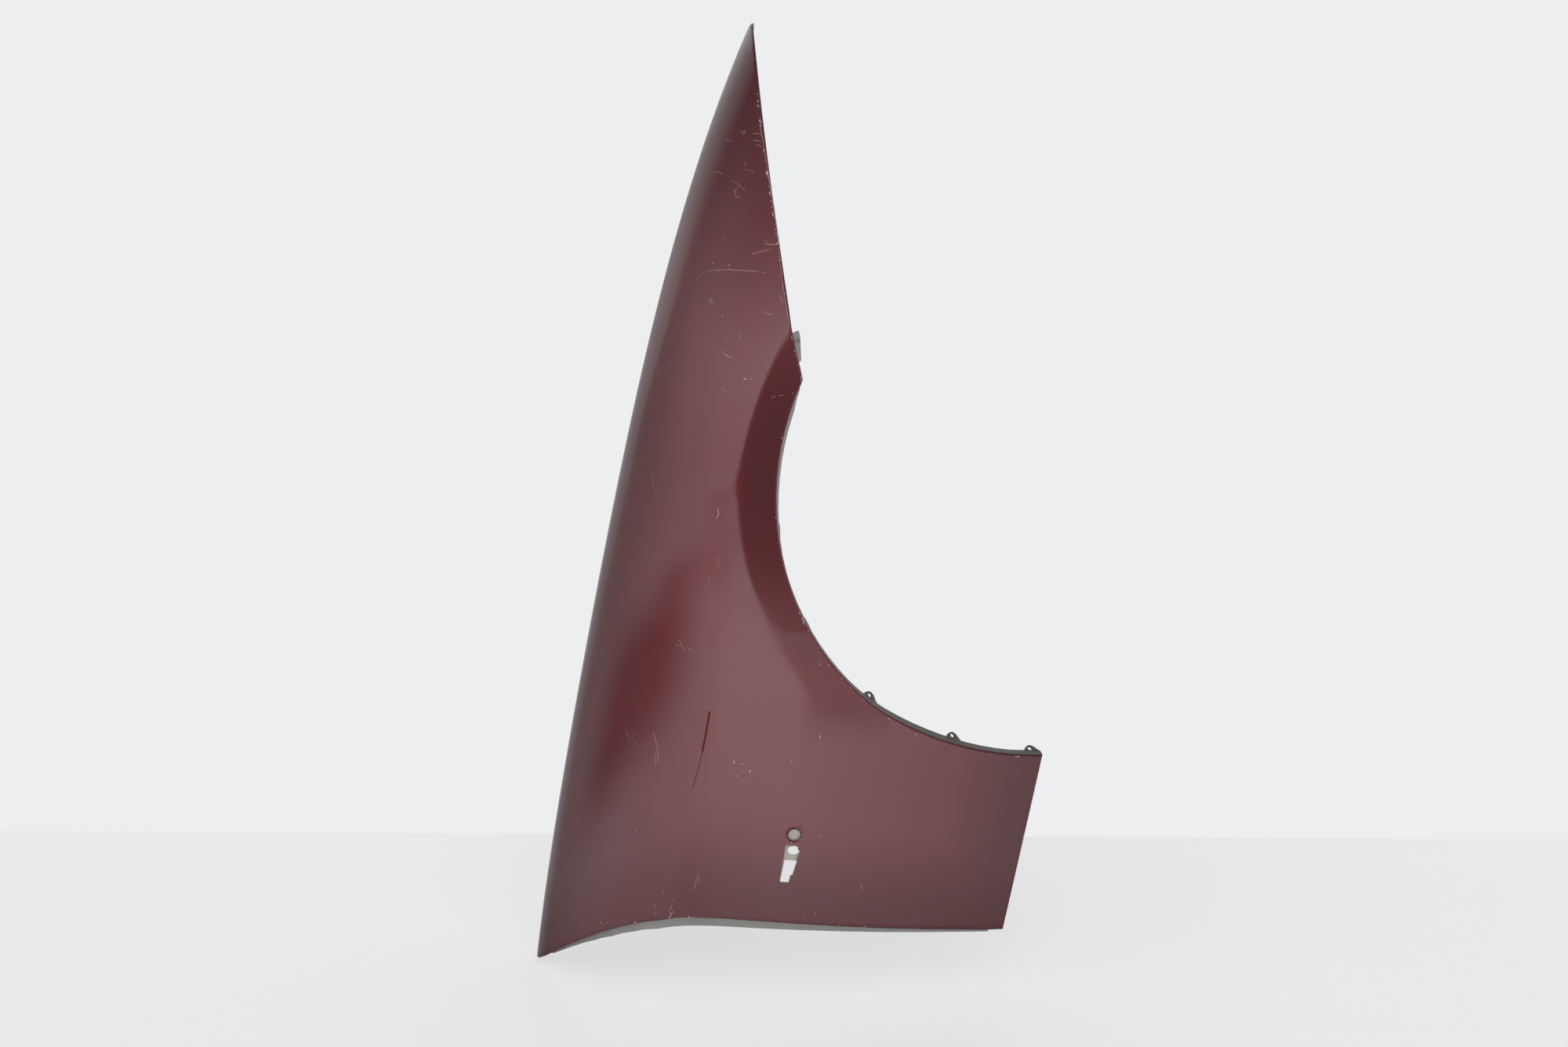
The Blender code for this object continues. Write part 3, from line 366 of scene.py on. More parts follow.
def addEdgeDistance(panel, isOuter):
    # each point learns its distance from the outline, for chips and overspray
    mesh = panel.data
    seen = {}
    for face, outer in zip(mesh.polygons, isOuter):
        for key in face.edge_keys:
            seen.setdefault(key, []).append(bool(outer))
    rim = [key for key, sides in seen.items() if len(sides) == 2 and sides[0] != sides[1]]
    count = panelMesh["edgeSamples"]
    tree = KDTree(len(rim) * count)
    for k, (a, b) in enumerate(rim):
        start, end = mesh.vertices[a].co, mesh.vertices[b].co
        for s in range(count):
            tree.insert(start.lerp(end, s / count), k * count + s)
    tree.balance()
    layer = mesh.attributes.new("edgeDistance", "FLOAT", "POINT")
    layer.data.foreach_set("value", [tree.find(v.co)[2] for v in mesh.vertices])


panel = makePanel()
isOuter = refineOuterFace(panel)
tuckDoorStrip(panel)
bendEars(panel)
addEdgeDistance(panel, isOuter)
_, behind, facing = facePlaces(panel.data)
isPainted = (facing > panelMesh["leastFacing"]) & (behind < panelMesh["paintDepth"])
bpy.ops.object.select_all(action="DESELECT")
panel.select_set(True)
bpy.context.view_layer.objects.active = panel
bpy.ops.object.shade_smooth_by_angle(angle=math.radians(panelMesh["smoothAngle"]))
weighted = panel.modifiers.new("evenShading", "WEIGHTED_NORMAL")
weighted.keep_sharp = True
bpy.ops.object.modifier_apply(modifier="evenShading")
print("panel:", len(panel.data.polygons), "faces")


def newMaterial(name):
    made = bpy.data.materials.new(name)
    made.use_nodes = True
    made.node_tree.nodes.clear()
    return made, made.node_tree


def fromArch(tree):
    # where a point is, counted from the middle of the wheel arch
    coords = addNode(tree, "TexCoord", out="Object")
    return addNode(tree, "Mapping", {"Location": tuple(-archCentre), "Vector": coords})


# paint: two-layer car paint, clear lacquer sprayed over a dark red base with fine aluminium flake. The
# flake makes the red glow where the light is and sink to maroon where it is not. The lacquer adds a sharp
# mirror of the studio with a faint orange peel
paint = {
    # the darkest red is painted shade, for the lower rear of the panel
    "pigment": "#52131a", "pigmentWorn": "#5e1d23", "pigmentShaded": "#471015", "flakeTint": "#953f45",
    # the pale colour of bare primer, also used for the painted highlight along the lamp edge
    "primerAndHighlight": "#cbbdb5", "streak": "#4a120a",
    "flake": 0.8, "roughness": 0.42, "markRoughness": 0.8,
    "lacquerRoughness": 0.03, "lacquerIor": 1.5, "lacquerOnMarks": 0.12,
    "peelMm": 3.0, "peelBump": 0.012, "peelHeight": 0.0004,
    "cloudMm": 260.0, "cloudRange": (0.35, 0.75), "cloudMost": 0.45,
    # where painted shade darkens the red, in metres: towards the door edge, towards the sill, and below a
    # height
    "shadeTowardsDoor": (-0.48, -0.58), "shadeTowardsSill": (0.08, 0.0), "shadeBelowHeight": (0.56, 0.42),    # metres
    "dustMm": 1.1, "dustRange": (0.70, 0.80), "dustMost": 0.10,    # real dust is too fine to show
    "chipMm": 3.6, "chipBand": 0.0022, "chipAmount": (0.47, 0.2), "chipSoft": 0.03,
    "fewerAtNose": (0.05, 0.30), "fewerAtTip": (0.48, 0.44), "fewer": 0.08,
    "breakMm": 3.846, "breakRange": (0.36, 0.56), "breakLeast": 0.25,
    "markEdges": (0.0013, 0.0005),    # metres per mm of half width: where a mark begins, where it is full
}

# marks that the photograph shows: its pixels along the mark, half width in mm, strength
marks = {
    "streak": [
        ([(905, 908), (901, 932), (896, 958)], 1.5, 1.0), ([(896, 958), (890, 983), (884, 1003)], 0.8, 0.8),
    ],
    "scratchAndRimHighlight": [
        ([(902, 345), (930, 343.5), (965, 346)], 0.35, 0.50),
        ([(888, 357), (895, 350), (902, 345)], 0.30, 0.25), ([(965, 346), (976, 348)], 0.30, 0.25),
        ([(943, 238), (937, 243), (938, 250), (944, 252)], 0.40, 0.45),
        ([(933, 230), (943, 236), (950, 243)], 0.35, 0.32),
        ([(912, 220), (917, 219), (921, 222)], 0.40, 0.45), ([(926, 178), (934, 180)], 0.40, 0.45),
        ([(945, 168), (950, 168), (948, 171)], 0.40, 0.60), ([(949, 207), (951, 210)], 0.35, 0.35),
        ([(950, 216), (962, 219)], 0.35, 0.32), ([(961, 170), (970, 171)], 0.35, 0.55),
        ([(961, 179), (971, 180)], 0.35, 0.50), ([(965, 184), (971, 187)], 0.35, 0.45),
        ([(976, 311), (989, 312)], 0.35, 0.50), ([(960, 324), (968, 321), (984, 318)], 0.35, 0.38),
        ([(976, 306), (978, 309)], 0.40, 0.50), ([(925, 298), (924, 306)], 0.30, 0.22),
        ([(909, 335), (910, 335.5)], 0.45, 0.7), ([(929, 338), (931, 338)], 0.40, 0.6),
        ([(904, 385), (911, 385.5)], 0.35, 0.35), ([(921, 403), (922, 404)], 0.40, 0.55),
        ([(972, 397), (977, 400), (984, 401)], 0.40, 0.32), ([(995, 378), (998, 385)], 0.35, 0.35),
        ([(944, 425), (945, 432)], 0.30, 0.30), ([(921, 448), (924, 452), (933, 456)], 0.40, 0.50),
        ([(948, 483), (952, 483)], 0.50, 0.85), ([(957, 483), (959, 482.5)], 0.40, 0.6),
        ([(921, 494), (926, 499)], 0.40, 0.25), ([(984, 507), (989, 505)], 0.40, 0.60),
        ([(994, 504.5), (1000, 504)], 0.35, 0.50), ([(1010, 501), (1012, 502)], 0.40, 0.50),
        ([(836, 455), (840, 470), (837, 486)], 0.30, 0.22), ([(905, 381), (907, 384)], 0.45, 0.45),
        ([(915, 648), (917, 655), (914, 661)], 0.50, 0.50),
        ([(832, 600), (834, 625), (840, 640)], 0.30, 0.20), ([(862, 822), (872, 824)], 0.35, 0.3),
        ([(877, 826), (886, 832)], 0.35, 0.25), ([(866, 816), (873, 830)], 0.30, 0.25),
        ([(797, 928), (804, 945)], 0.30, 0.25), ([(806, 935), (812, 950)], 0.30, 0.22),
        ([(833, 934), (838, 950), (840, 972)], 0.45, 0.30), ([(836, 961), (836, 976)], 0.60, 0.18),
        ([(936, 970), (936, 973)], 0.70, 0.95), ([(946, 974), (947, 975)], 0.55, 0.9),
        ([(956, 983), (957, 984)], 0.65, 0.9), ([(940, 989), (941, 990)], 0.55, 0.8),
        ([(1010, 969), (1010, 970)], 0.55, 0.9), ([(1046, 938), (1046, 941)], 0.70, 0.9),
        ([(889, 1115), (891, 1117)], 0.35, 0.35), ([(887, 1119), (890, 1123), (892, 1128)], 0.30, 0.30),
        ([(892, 1118), (887, 1126), (886, 1133)], 0.35, 0.32), ([(860, 1145), (859, 1151)], 0.35, 0.28),
        ([(857, 1155), (853, 1162), (856, 1166)], 0.40, 0.40),
        ([(858, 1162), (855, 1168), (852, 1173)], 0.45, 0.60), ([(835, 1151), (836, 1159)], 0.30, 0.28),
        ([(838, 1162), (835, 1166)], 0.35, 0.30), ([(845, 1137), (847, 1140)], 0.30, 0.30),
        ([(1098, 1128), (1100, 1133)], 0.45, 0.55), ([(1040, 1164), (1041, 1165)], 0.45, 0.6),
        ([(1024, 1167), (1025, 1168)], 0.35, 0.4), ([(1045, 1066), (1046, 1067)], 0.40, 0.35),
        ([(810, 1059), (811, 1060)], 0.50, 0.7), ([(765, 1176), (767, 1177)], 0.50, 0.7),
        ([(771, 1178), (775, 1177)], 0.35, 0.35), ([(797, 1175), (799, 1176)], 0.35, 0.4),
        ([(915, 712), (917, 722)], 0.30, 0.28), ([(904, 735), (906, 741)], 0.35, 0.3),
        ([(1168, 936), (1169, 938)], 0.50, 0.6), ([(1023, 788), (1026, 796)], 0.80, 0.7),
        ([(1019, 781), (1021, 784)], 0.60, 0.7), ([(1021, 480), (1023, 487)], 0.60, 0.6),
        ([(1045, 846), (1047, 848)], 0.45, 0.5), ([(1056, 848), (1058, 849)], 0.45, 0.5),
        # from (969, 160) to the end of the list: a long worn line down the lamp edge, partly rubbed paint and
        # partly a painted highlight on the rolled edge
        ([(966, 133), (967, 136)], 0.50, 0.8), ([(969, 160), (974, 184), (979, 218)], 0.35, 0.55),
        ([(979, 218), (983, 241), (988, 275), (993, 312)], 0.55, 0.75),
        ([(993, 312), (999, 367), (1007, 416)], 0.35, 0.50),
    ],
}


def markMask(tree, place, group):
    # the strongest of all marks of one kind: 1 in the middle of a mark, 0 outside it
    best = None
    for pixels, halfWidth, strength in marks[group]:
        spots = [onPanel(px, py) for px, py in pixels]
        ends = [halfWidth * edge for edge in paint["markEdges"]]
        for (x0, z0), (x1, z1) in zip(spots, spots[1:]):
            start, run = Vector((x0, 0, z0)), Vector((x1 - x0, 0, z1 - z0))
            away = addNode(tree, "VectorMath", {"operation": "SUBTRACT", 0: place, 1: start})
            share = addNode(tree, "VectorMath", {"operation": "DOT_PRODUCT", 0: away,
                                                 1: run / run.length_squared}, "Value")
            held = addNode(tree, "Clamp", {"Value": share})
            along = addNode(tree, "VectorMath", {"operation": "SCALE", 0: run, "Scale": held})
            across = addNode(tree, "VectorMath", {"operation": "DISTANCE", 0: away, 1: along}, "Value")
            inMark = addNode(tree, "MapRange", {"Value": across, fromEnds: ends, toEnds: (0, strength)})
            if best is None:
                best = inMark
            else:
                best = addNode(tree, "Math", {"operation": "MAXIMUM", 0: best, 1: inMark})
    return best


def makePaint():
    made, tree = newMaterial("wornRedLacquerPaint")
    place = fromArch(tree)
    parts = addNode(tree, "SeparateXYZ", {0: place}).node.outputs
    flat = addNode(tree, "CombineXYZ", {"X": parts["X"], "Z": parts["Z"]})
    # slow clouds in the pigment, where sun and polish took it unevenly
    cloud = addNode(tree, "TexNoise", {"Scale": 1000 / paint["cloudMm"], "Detail": 3, "Vector": place})
    worn = addNode(tree, "MapRange", {"Value": cloud, fromEnds: paint["cloudRange"],
                                      "To Max": paint["cloudMost"]})
    # painted shade: the red is darkened towards the door edge and the sill, as in the photograph, where the
    # lower rear of the panel gets less light; the red is deeper towards the door edge and the sill, as in
    # the photograph. Why isn't known
    shadeToDoor, shadeToSill, under = (addNode(tree, "MapRange", {"Value": parts[axis], fromEnds: paint[key]})
                             for axis, key in (("X", "shadeTowardsDoor"), ("Z", "shadeTowardsSill"), ("Z", "shadeBelowHeight")))
    shadeToDoor = addNode(tree, "Math", {"operation": "MULTIPLY", 0: shadeToDoor, 1: under})
    deep = addNode(tree, "Math", {"operation": "MAXIMUM", 0: shadeToDoor, 1: shadeToSill})
    # fine dust in the lacquer
    dust = addNode(tree, "TexNoise", {"Scale": 1000 / paint["dustMm"], "Detail": 2, "Vector": place})
    speck = addNode(tree, "MapRange", {"Value": dust, fromEnds: paint["dustRange"],
                                       "To Max": paint["dustMost"]})
    # chips along the outline, most of them on the lamp edge
    near = addNode(tree, "Attribute", {"attribute_name": "edgeDistance"}, "Fac")
    band = addNode(tree, "MapRange", {"Value": near, fromEnds: (0, paint["chipBand"]),
                                      toEnds: paint["chipAmount"]})
    level = addNode(tree, "TexNoise", {"Scale": 1000 / paint["chipMm"], "Detail": 2, "Roughness": 0.6,
                                       "Vector": place})
    for key in ("fewerAtNose", "fewerAtTip"):
        fewer = addNode(tree, "MapRange", {"Value": parts["X"], fromEnds: paint[key],
                                           toEnds: (paint["fewer"], 0)})
        level = addNode(tree, "Math", {"operation": "ADD", 0: level, 1: fewer})
    over = addNode(tree, "Math", {"operation": "SUBTRACT", 0: band, 1: level})
    chips = addNode(tree, "MapRange", {"Value": over, fromEnds: (0, paint["chipSoft"])})
    # scratches, broken up along their length; with them the worn line down the lamp edge, which is partly
    # rubbed paint and partly a painted highlight on the rolled edge
    gaps = addNode(tree, "TexNoise", {"Scale": 1000 / paint["breakMm"], "Detail": 3, "Vector": place})
    broken = addNode(tree, "MapRange", {"Value": gaps, fromEnds: paint["breakRange"],
                                        "To Min": paint["breakLeast"]})
    scratchAndRimHighlight = addNode(tree, "Math", {"operation": "MULTIPLY", 0: markMask(tree, flat, "scratchAndRimHighlight"), 1: broken})
    streak = markMask(tree, flat, "streak")
    colour = paint["pigment"]
    for cover, code in ((worn, "pigmentWorn"), (deep, "pigmentShaded"), (speck, "primerAndHighlight"), (chips, "primerAndHighlight"),
                        (scratchAndRimHighlight, "primerAndHighlight"), (streak, "streak")):
        colour = addNode(tree, "Mix", {"data_type": "RGBA", 0: cover, 6: colour, 7: paint[code]}, 2)
    # the lacquer is gone where a mark is, so it is rougher there and mirrors little
    marked = addNode(tree, "Math", {"operation": "MAXIMUM", 0: scratchAndRimHighlight, 1: chips})
    rough = addNode(tree, "MapRange", {"Value": marked, toEnds: (paint["roughness"], paint["markRoughness"])})
    bare = addNode(tree, "Math", {"operation": "MAXIMUM", 0: marked, 1: streak})
    lacquer = addNode(tree, "MapRange", {"Value": bare, toEnds: (1, paint["lacquerOnMarks"])})
    peel = addNode(tree, "TexNoise", {"Scale": 1000 / paint["peelMm"], "Detail": 1, "Vector": place})
    bump = addNode(tree, "Bump", {"Strength": paint["peelBump"], "Distance": paint["peelHeight"],
                                  "Height": peel})
    shader = addNode(tree, "BsdfPrincipled", {
        "Base Color": colour, "Metallic": paint["flake"], "Specular Tint": paint["flakeTint"],
        "Roughness": rough, "Normal": bump, "Coat Weight": lacquer, "Coat Normal": bump,
        "Coat Roughness": paint["lacquerRoughness"], "Coat IOR": paint["lacquerIor"]})
    addNode(tree, "OutputMaterial", {"Surface": shader})
    return made


# bare moulding: grey injection-moulded thermoplastic, satin with a fine grain, which scatters the light
# softly. Overspray from the paint reddens it at the edge, and road grime browns it and painted shade darkens
# it round the wheel
bareMoulding = {
    # the last colour is the dark brown of road grime with painted shade
    "grey": "#84827e", "greyDark": "#6c6b67", "overspray": "#94807f", "grimeAndShade": "#3f3a34",
    "ior": 1.49, "roughness": (0.46, 0.62),
    "grainMm": 0.9, "grainBump": 0.15, "grainHeight": 0.0002,    # the real grain is too fine to show
    "mottleMm": 40.0,
    "oversprayReach": (0.003, 0.007), "oversprayMost": 0.6, "oversprayWobble": 0.008,
    # road grime with painted shade round the wheel arch: how much, over what radius, and how it fades towards
    # the front
    "grimeAndShadeShare": 0.72, "grimeAndShadeRadius": (0.372, 0.395), "grimeAndShadeFront": (-0.16, 0.04),
}


def makeMoulding():
    made, tree = newMaterial("greyMouldedThermoplastic")
    place = fromArch(tree)
    parts = addNode(tree, "SeparateXYZ", {0: place}).node.outputs
    mottle = addNode(tree, "TexNoise", {"Scale": 1000 / bareMoulding["mottleMm"], "Detail": 4,
                                        "Vector": place})
    # overspray, with a wavering border
    near = addNode(tree, "Attribute", {"attribute_name": "edgeDistance"}, "Fac")
    waver = bareMoulding["oversprayWobble"]
    waver = addNode(tree, "Math", {"operation": "MULTIPLY_ADD", 0: mottle, 1: waver, 2: -waver / 2})
    near = addNode(tree, "Math", {"operation": "ADD", 0: near, 1: waver})
    spray = addNode(tree, "MapRange", {"Value": near, fromEnds: bareMoulding["oversprayReach"],
                                       toEnds: (bareMoulding["oversprayMost"], 0)})
    # road grime and painted shade on what faces the wheel, less of it in front
    flat = addNode(tree, "CombineXYZ", {"X": parts["X"], "Z": parts["Z"]})
    radius = addNode(tree, "VectorMath", {"operation": "LENGTH", 0: flat}, "Value")
    inArch = addNode(tree, "MapRange", {"Value": radius, fromEnds: bareMoulding["grimeAndShadeRadius"],
                                        toEnds: (bareMoulding["grimeAndShadeShare"], 0)})
    inRear = addNode(tree, "MapRange", {"Value": parts["X"], fromEnds: bareMoulding["grimeAndShadeFront"],
                                        toEnds: (1, 0)})
    grimeAndShade = addNode(tree, "Math", {"operation": "MULTIPLY", 0: inArch, 1: inRear})
    colour = bareMoulding["greyDark"]
    for cover, code in ((mottle, "grey"), (spray, "overspray"), (grimeAndShade, "grimeAndShade")):
        colour = addNode(tree, "Mix", {"data_type": "RGBA", 0: cover, 6: colour, 7: bareMoulding[code]}, 2)
    grain = addNode(tree, "TexNoise", {"Scale": 1000 / bareMoulding["grainMm"], "Detail": 2, "Vector": place})
    bump = addNode(tree, "Bump", {"Strength": bareMoulding["grainBump"],
                                  "Distance": bareMoulding["grainHeight"], "Height": grain})
    rough = addNode(tree, "MapRange", {"Value": mottle, toEnds: bareMoulding["roughness"]})
    shader = addNode(tree, "BsdfPrincipled", {"Base Color": colour, "Roughness": rough, "Normal": bump,
                                              "Metallic": 0, "IOR": bareMoulding["ior"]})
    addNode(tree, "OutputMaterial", {"Surface": shader})
    return made


# lamp bracket: pale grey glass-filled nylon plate, moulded, matt, with flow marks that cloud it a little
bracketPlate = {
    "grey": "#b1aca1", "greyDark": "#98938a", "ior": 1.53, "roughness": (0.52, 0.70),
    "flowMm": 14.0, "flowBend": 0.6,
    "grainMm": 0.6, "grainBump": 0.12, "grainHeight": 0.0002,    # drawn coarser than it is, as above
}


def makeBracketMaterial():
    made, tree = newMaterial("paleGreyNylon")
    place = fromArch(tree)
    flow = addNode(tree, "TexNoise", {"Scale": 1000 / bracketPlate["flowMm"], "Detail": 3,
                                      "Distortion": bracketPlate["flowBend"], "Vector": place})
    colour = addNode(tree, "Mix", {"data_type": "RGBA", 0: flow, 6: bracketPlate["greyDark"],
                                   7: bracketPlate["grey"]}, 2)
    grain = addNode(tree, "TexNoise", {"Scale": 1000 / bracketPlate["grainMm"], "Vector": place})
    bump = addNode(tree, "Bump", {"Strength": bracketPlate["grainBump"],
                                  "Distance": bracketPlate["grainHeight"], "Height": grain})
    rough = addNode(tree, "MapRange", {"Value": flow, toEnds: bracketPlate["roughness"]})
    shader = addNode(tree, "BsdfPrincipled", {"Base Color": colour, "Roughness": rough, "Normal": bump,
                                              "Metallic": 0, "IOR": bracketPlate["ior"]})
    addNode(tree, "OutputMaterial", {"Surface": shader})
    return made


panel.data.materials.clear()
panel.data.materials.append(makePaint())
panel.data.materials.append(makeMoulding())
panel.data.polygons.foreach_set("material_index", [0 if p else 1 for p in isPainted])
panel.data.update()
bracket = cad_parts["side_lamp_bracket"]
bracket.data.materials.clear()
bracket.data.materials.append(makeBracketMaterial())
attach(panel, "root")
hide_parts("fender_skin")
print("materials done")


# floor: pale painted boards, matt. They touch the panel's rear top corner, its lowest point in the
# photograph
floorSheet = {
    "colour": "#dedcde", "glow": 0.37, "roughness": 0.6,
    "size": (7.0, 2.46), "farEdge": 2.463, "turn": -0.76, "gap": 0.0005,    # metres, the turn in degrees
}


def makeFloor():
    bpy.ops.object.select_all(action="DESELECT")
    bpy.ops.mesh.primitive_grid_add(x_subdivisions=2, y_subdivisions=2, size=1)
    floor = bpy.context.object
    floor.name = "paleFloor"
    wide, deep = floorSheet["size"]
    lowest = min((v.co - archCentre).dot(plumb) for v in panel.data.vertices)
    inward = (-back - plumb * -back.dot(plumb)).normalized()
    inward.rotate(Quaternion(plumb, math.radians(floorSheet["turn"])))
    side = inward.cross(plumb)
    below = cameraPlace - plumb * (cameraPlace.dot(plumb) - lowest + floorSheet["gap"])
    for v in floor.data.vertices:
        depth = floorSheet["farEdge"] + (v.co.y - 0.5) * deep
        v.co = below + side * (v.co.x * wide) + inward * depth + archCentre
    floor.data.update()
    if floor.data.polygons[0].normal.dot(plumb) < 0:
        floor.data.flip_normals()
    made, tree = newMaterial("paleFloorPaint")
    top = addNode(tree, "BsdfPrincipled", {
        "Base Color": floorSheet["colour"], "Roughness": floorSheet["roughness"],
        "Emission Color": "#ffffff", "Emission Strength": floorSheet["glow"]})
    clear = addNode(tree, "BsdfTransparent")
    under = addNode(tree, "NewGeometry", out="Backfacing")
    mix = addNode(tree, "MixShader", {0: under, 1: top, 2: clear})
    addNode(tree, "OutputMaterial", {"Surface": mix})
    floor.data.materials.append(made)
    floor.visible_glossy = False    # the lacquer mirrors the studio, not the floor's front edge


# dark screen: an unlit screen beside the camera, which the lip of the arch mirrors. Its outline is given
# by slanting borders, each one a lean and the range over which x + lean * z goes from clear to dark
darkScreen = {
    "away": -0.35, "corners": ((-0.52, 0.05), (0.40, 0.66)),
    "upperLean": 1.227, "upperSum": (0.50, 0.60), "lowerLean": -0.577, "lowerSum": (-0.415, -0.362),
    "footLean": 0.655, "footSum": (-0.1345, -0.1325),
    "level": 0.43, "headLevel": 0.55, "headFrom": (0.05, 0.20),
    "footLevel": 0.86, "footFrom": (-0.255, -0.15),
    "dimLevel": 1.38, "dimSide": (0.192, 0.245), "dimEnd": (-0.52, -0.42),
}


def makeDarkScreen():
    # only mirrored light meets it, so that it hides nothing and shades nothing
    bpy.ops.object.select_all(action="DESELECT")
    bpy.ops.mesh.primitive_grid_add(x_subdivisions=2, y_subdivisions=2, size=1)
    screen = bpy.context.object
    screen.name = "darkScreen"
    (x0, z0), (x1, z1) = darkScreen["corners"]
    for v in screen.data.vertices:
        place = (x0 + (v.co.x + 0.5) * (x1 - x0), darkScreen["away"], z0 + (v.co.y + 0.5) * (z1 - z0))
        v.co = Vector(place) + archCentre
    made, tree = newMaterial("unlitScreen")
    parts = addNode(tree, "SeparateXYZ", {0: fromArch(tree)}).node.outputs
    x, z = parts["X"], parts["Z"]
    borders = {}
    for name, ends in (("upper", (1, 0)), ("lower", (0, 1)), ("foot", (0, 1))):
        lean = addNode(tree, "Math", {"operation": "MULTIPLY_ADD", 0: z, 1: darkScreen[name + "Lean"], 2: x})
        borders[name] = addNode(tree, "MapRange", {**soft, "Value": lean, fromEnds: darkScreen[name + "Sum"],
                                                   toEnds: ends})
    dark = addNode(tree, "Math", {"operation": "MULTIPLY", 0: borders["upper"], 1: borders["lower"]})
    dimBySide = addNode(tree, "MapRange", {**soft, "Value": z, fromEnds: darkScreen["dimSide"],
                                           toEnds: (1, 0)})
    dimByEnd = addNode(tree, "MapRange", {**soft, "Value": x, fromEnds: darkScreen["dimEnd"]})
    dim = addNode(tree, "Math", {"operation": "MULTIPLY", 0: dimBySide, 1: dimByEnd})
    cover = addNode(tree, "Mix", {0: borders["foot"], 2: dim, 3: dark})
    foot = addNode(tree, "MapRange", {**soft, "Value": x, fromEnds: darkScreen["footFrom"],
                                      toEnds: (darkScreen["footLevel"], darkScreen["level"])})
    head = addNode(tree, "MapRange", {**soft, "Value": x, fromEnds: darkScreen["headFrom"],
                                      toEnds: (darkScreen["level"], darkScreen["headLevel"])})
    level = addNode(tree, "Math", {"operation": "MAXIMUM", 0: foot, 1: head})
    level = addNode(tree, "Mix", {0: borders["foot"], 2: darkScreen["dimLevel"], 3: level})
    glow = addNode(tree, "Emission", {"Color": "#ffffff", "Strength": level})
    clear = addNode(tree, "BsdfTransparent")
    mix = addNode(tree, "MixShader", {0: cover, 1: clear, 2: glow})
    addNode(tree, "OutputMaterial", {"Surface": mix})
    screen.data.materials.append(made)
    screen.visible_camera = screen.visible_diffuse = False
    screen.visible_shadow = screen.visible_transmission = False


# studio: a pale room with soft light in front that fades towards the nose. Places along the car go from
# -1 at the tail side to 1 at the nose side, and angles round it are 0 straight out, 90 up and 180 behind
studio = {
    "brightest": 2.2, "wall": 0.85, "tint": (1.0, 1.006, 1.024),
    # brightness along the car, as shares of the brightest
    "alongStops": [(-1.0, 0.45), (-0.62, 0.52), (-0.54, 0.42), (-0.48, 0.56), (-0.41, 0.90), (-0.30, 0.96),
                   (-0.12, 0.87), (0.06, 0.98), (0.12, 0.99), (0.18, 0.93), (0.24, 0.82), (0.36, 0.62),
                   (0.54, 0.38), (1.0, 0.27)],
    "alongEnds": (-1, 1),
    # the same round the car's length
    "roundStops": [(-60, 0.50), (-48, 0.50), (-32, 0.74), (-22, 0.90), (-10, 1.14), (6, 1.03), (32, 0.94),
                   (56, 0.85), (72, 0.77), (88, 0.62), (104, 0.40), (114, 0.31), (126, 0.30)],
    "roundEnds": (-60, 180),
    # a dark beam over the tail side, which shows as the deep red patch, and its arm down to the arch lip
    "beams": [
        {"middle": (-0.275, -0.300), "leans": (60, 100), "edges": (0.02, 0.11), "dark": 0.68,
         "from": (22, 66), "to": (86, 112)},
        {"middle": (-0.176, -0.207), "leans": (0, 62), "edges": (0.0, 0.030), "dark": 0.22,
         "from": (-12, 6), "to": (62, 84)},
    ],
    # the wall behind begins at an edge, which shows as the grey strip along the bonnet side
    "edgeAngles": (122.5, 115.0), "edgeAnglesAt": (-0.12, 0.12),
    "edgeSoft": (1.5, 9.0), "edgeSoftAt": (0.0, 0.3),
    "wallAtEdge": (0.36, 0.50), "wallAtEdgeAt": (-0.30, 0.15), "wallFar": (0.62, 0.80),
}


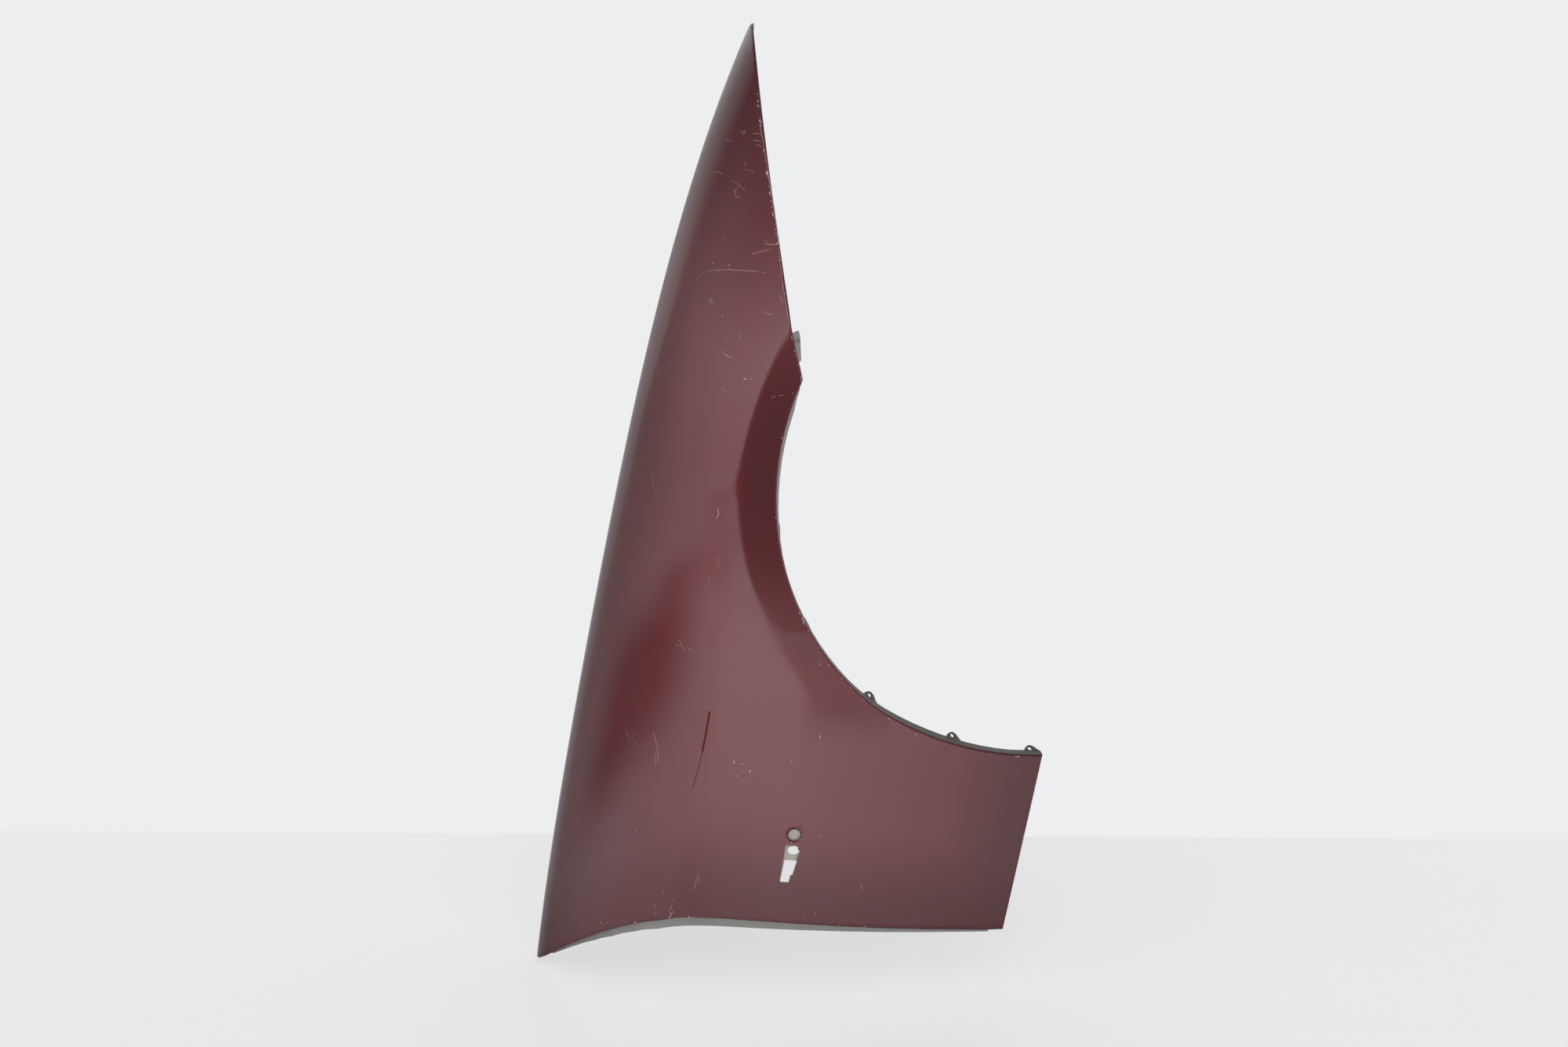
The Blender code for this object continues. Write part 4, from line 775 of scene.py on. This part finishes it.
def makeStudioLight():
    world = bpy.data.worlds.new("paleStudio")
    bpy.context.scene.world = world
    world.use_nodes = True
    tree = world.node_tree
    tree.nodes.clear()
    look = addNode(tree, "TexCoord", out="Generated")
    parts = addNode(tree, "SeparateXYZ", {0: look}).node.outputs
    x, y, z = (parts[k] for k in ("X", "Y", "Z"))
    out = addNode(tree, "Math", {"operation": "MULTIPLY", 0: y, 1: -1})
    turn = addNode(tree, "Math", {"operation": "ARCTAN2", 0: z, 1: out})
    turn = addNode(tree, "Math", {"operation": "MULTIPLY", 0: turn, 1: 180 / math.pi})
    # brightness along the car and round it
    ramps = []
    for value, name in ((x, "along"), (turn, "round")):
        low, high = studio[name + "Ends"]
        share = addNode(tree, "MapRange", {"Value": value, fromEnds: (low, high)})
        ramp = addNode(tree, "ValToRGB", {"Fac": share})
        stops, elements = studio[name + "Stops"], ramp.node.color_ramp.elements
        while len(elements) < len(stops):
            elements.new(0.5)
        for k, (position, grey) in enumerate(stops):
            elements[k].position = (position - low) / (high - low)
            elements[k].color = (grey, grey, grey, 1)
        ramps.append(ramp)
    along = addNode(tree, "Math", {"operation": "MULTIPLY", 0: ramps[0], 1: studio["brightest"]})
    front = addNode(tree, "Math", {"operation": "MULTIPLY", 0: along, 1: ramps[1]})
    for beam in studio["beams"]:
        middle = addNode(tree, "MapRange", {**soft, "Value": turn, fromEnds: beam["leans"],
                                            toEnds: beam["middle"]})
        off = addNode(tree, "Math", {"operation": "SUBTRACT", 0: x, 1: middle})
        off = addNode(tree, "Math", {"operation": "ABSOLUTE", 0: off})
        inBeam = addNode(tree, "MapRange", {**soft, "Value": off, fromEnds: beam["edges"], toEnds: (1, 0)})
        for key, ends in (("from", (0, 1)), ("to", (1, 0))):
            reach = addNode(tree, "MapRange", {**soft, "Value": turn, fromEnds: beam[key], toEnds: ends})
            inBeam = addNode(tree, "Math", {"operation": "MULTIPLY", 0: inBeam, 1: reach})
        left = addNode(tree, "Math", {"operation": "MULTIPLY_ADD", 0: inBeam, 1: -beam["dark"], 2: 1})
        front = addNode(tree, "Math", {"operation": "MULTIPLY", 0: front, 1: left})
    # the wall behind
    edge, softness, atEdge = (addNode(tree, "MapRange", {**soft, "Value": x, fromEnds: studio[key + "At"],
                                                         toEnds: studio[key]})
                              for key in ("edgeAngles", "edgeSoft", "wallAtEdge"))
    limits = [addNode(tree, "Math", {"operation": side, 0: edge, 1: softness})
              for side in ("SUBTRACT", "ADD")]
    turned = addNode(tree, "Math", {"operation": "ABSOLUTE", 0: turn})
    behind = addNode(tree, "MapRange", {**soft, "Value": turned, fromEnds: limits})
    far = addNode(tree, "MapRange", {**soft, "Value": y, fromEnds: studio["wallFar"]})
    atEdge = addNode(tree, "Math", {"operation": "MULTIPLY", 0: along, 1: atEdge})
    wall = addNode(tree, "Mix", {0: far, 2: atEdge, 3: studio["wall"]})
    level = addNode(tree, "Mix", {0: behind, 2: front, 3: wall})
    # the room itself looks the same plain wall all round
    seen = addNode(tree, "LightPath", out="Is Camera Ray")
    level = addNode(tree, "Mix", {0: seen, 2: level, 3: studio["wall"]})
    tint = [addNode(tree, "Math", {"operation": "MULTIPLY", 0: level, 1: share}) for share in studio["tint"]]
    tint = addNode(tree, "CombineColor", dict(enumerate(tint)))
    light = addNode(tree, "Background", {"Color": tint})
    addNode(tree, "OutputWorld", {"Surface": light})


makeFloor()
makeDarkScreen()
makeStudioLight()
print("studio done")
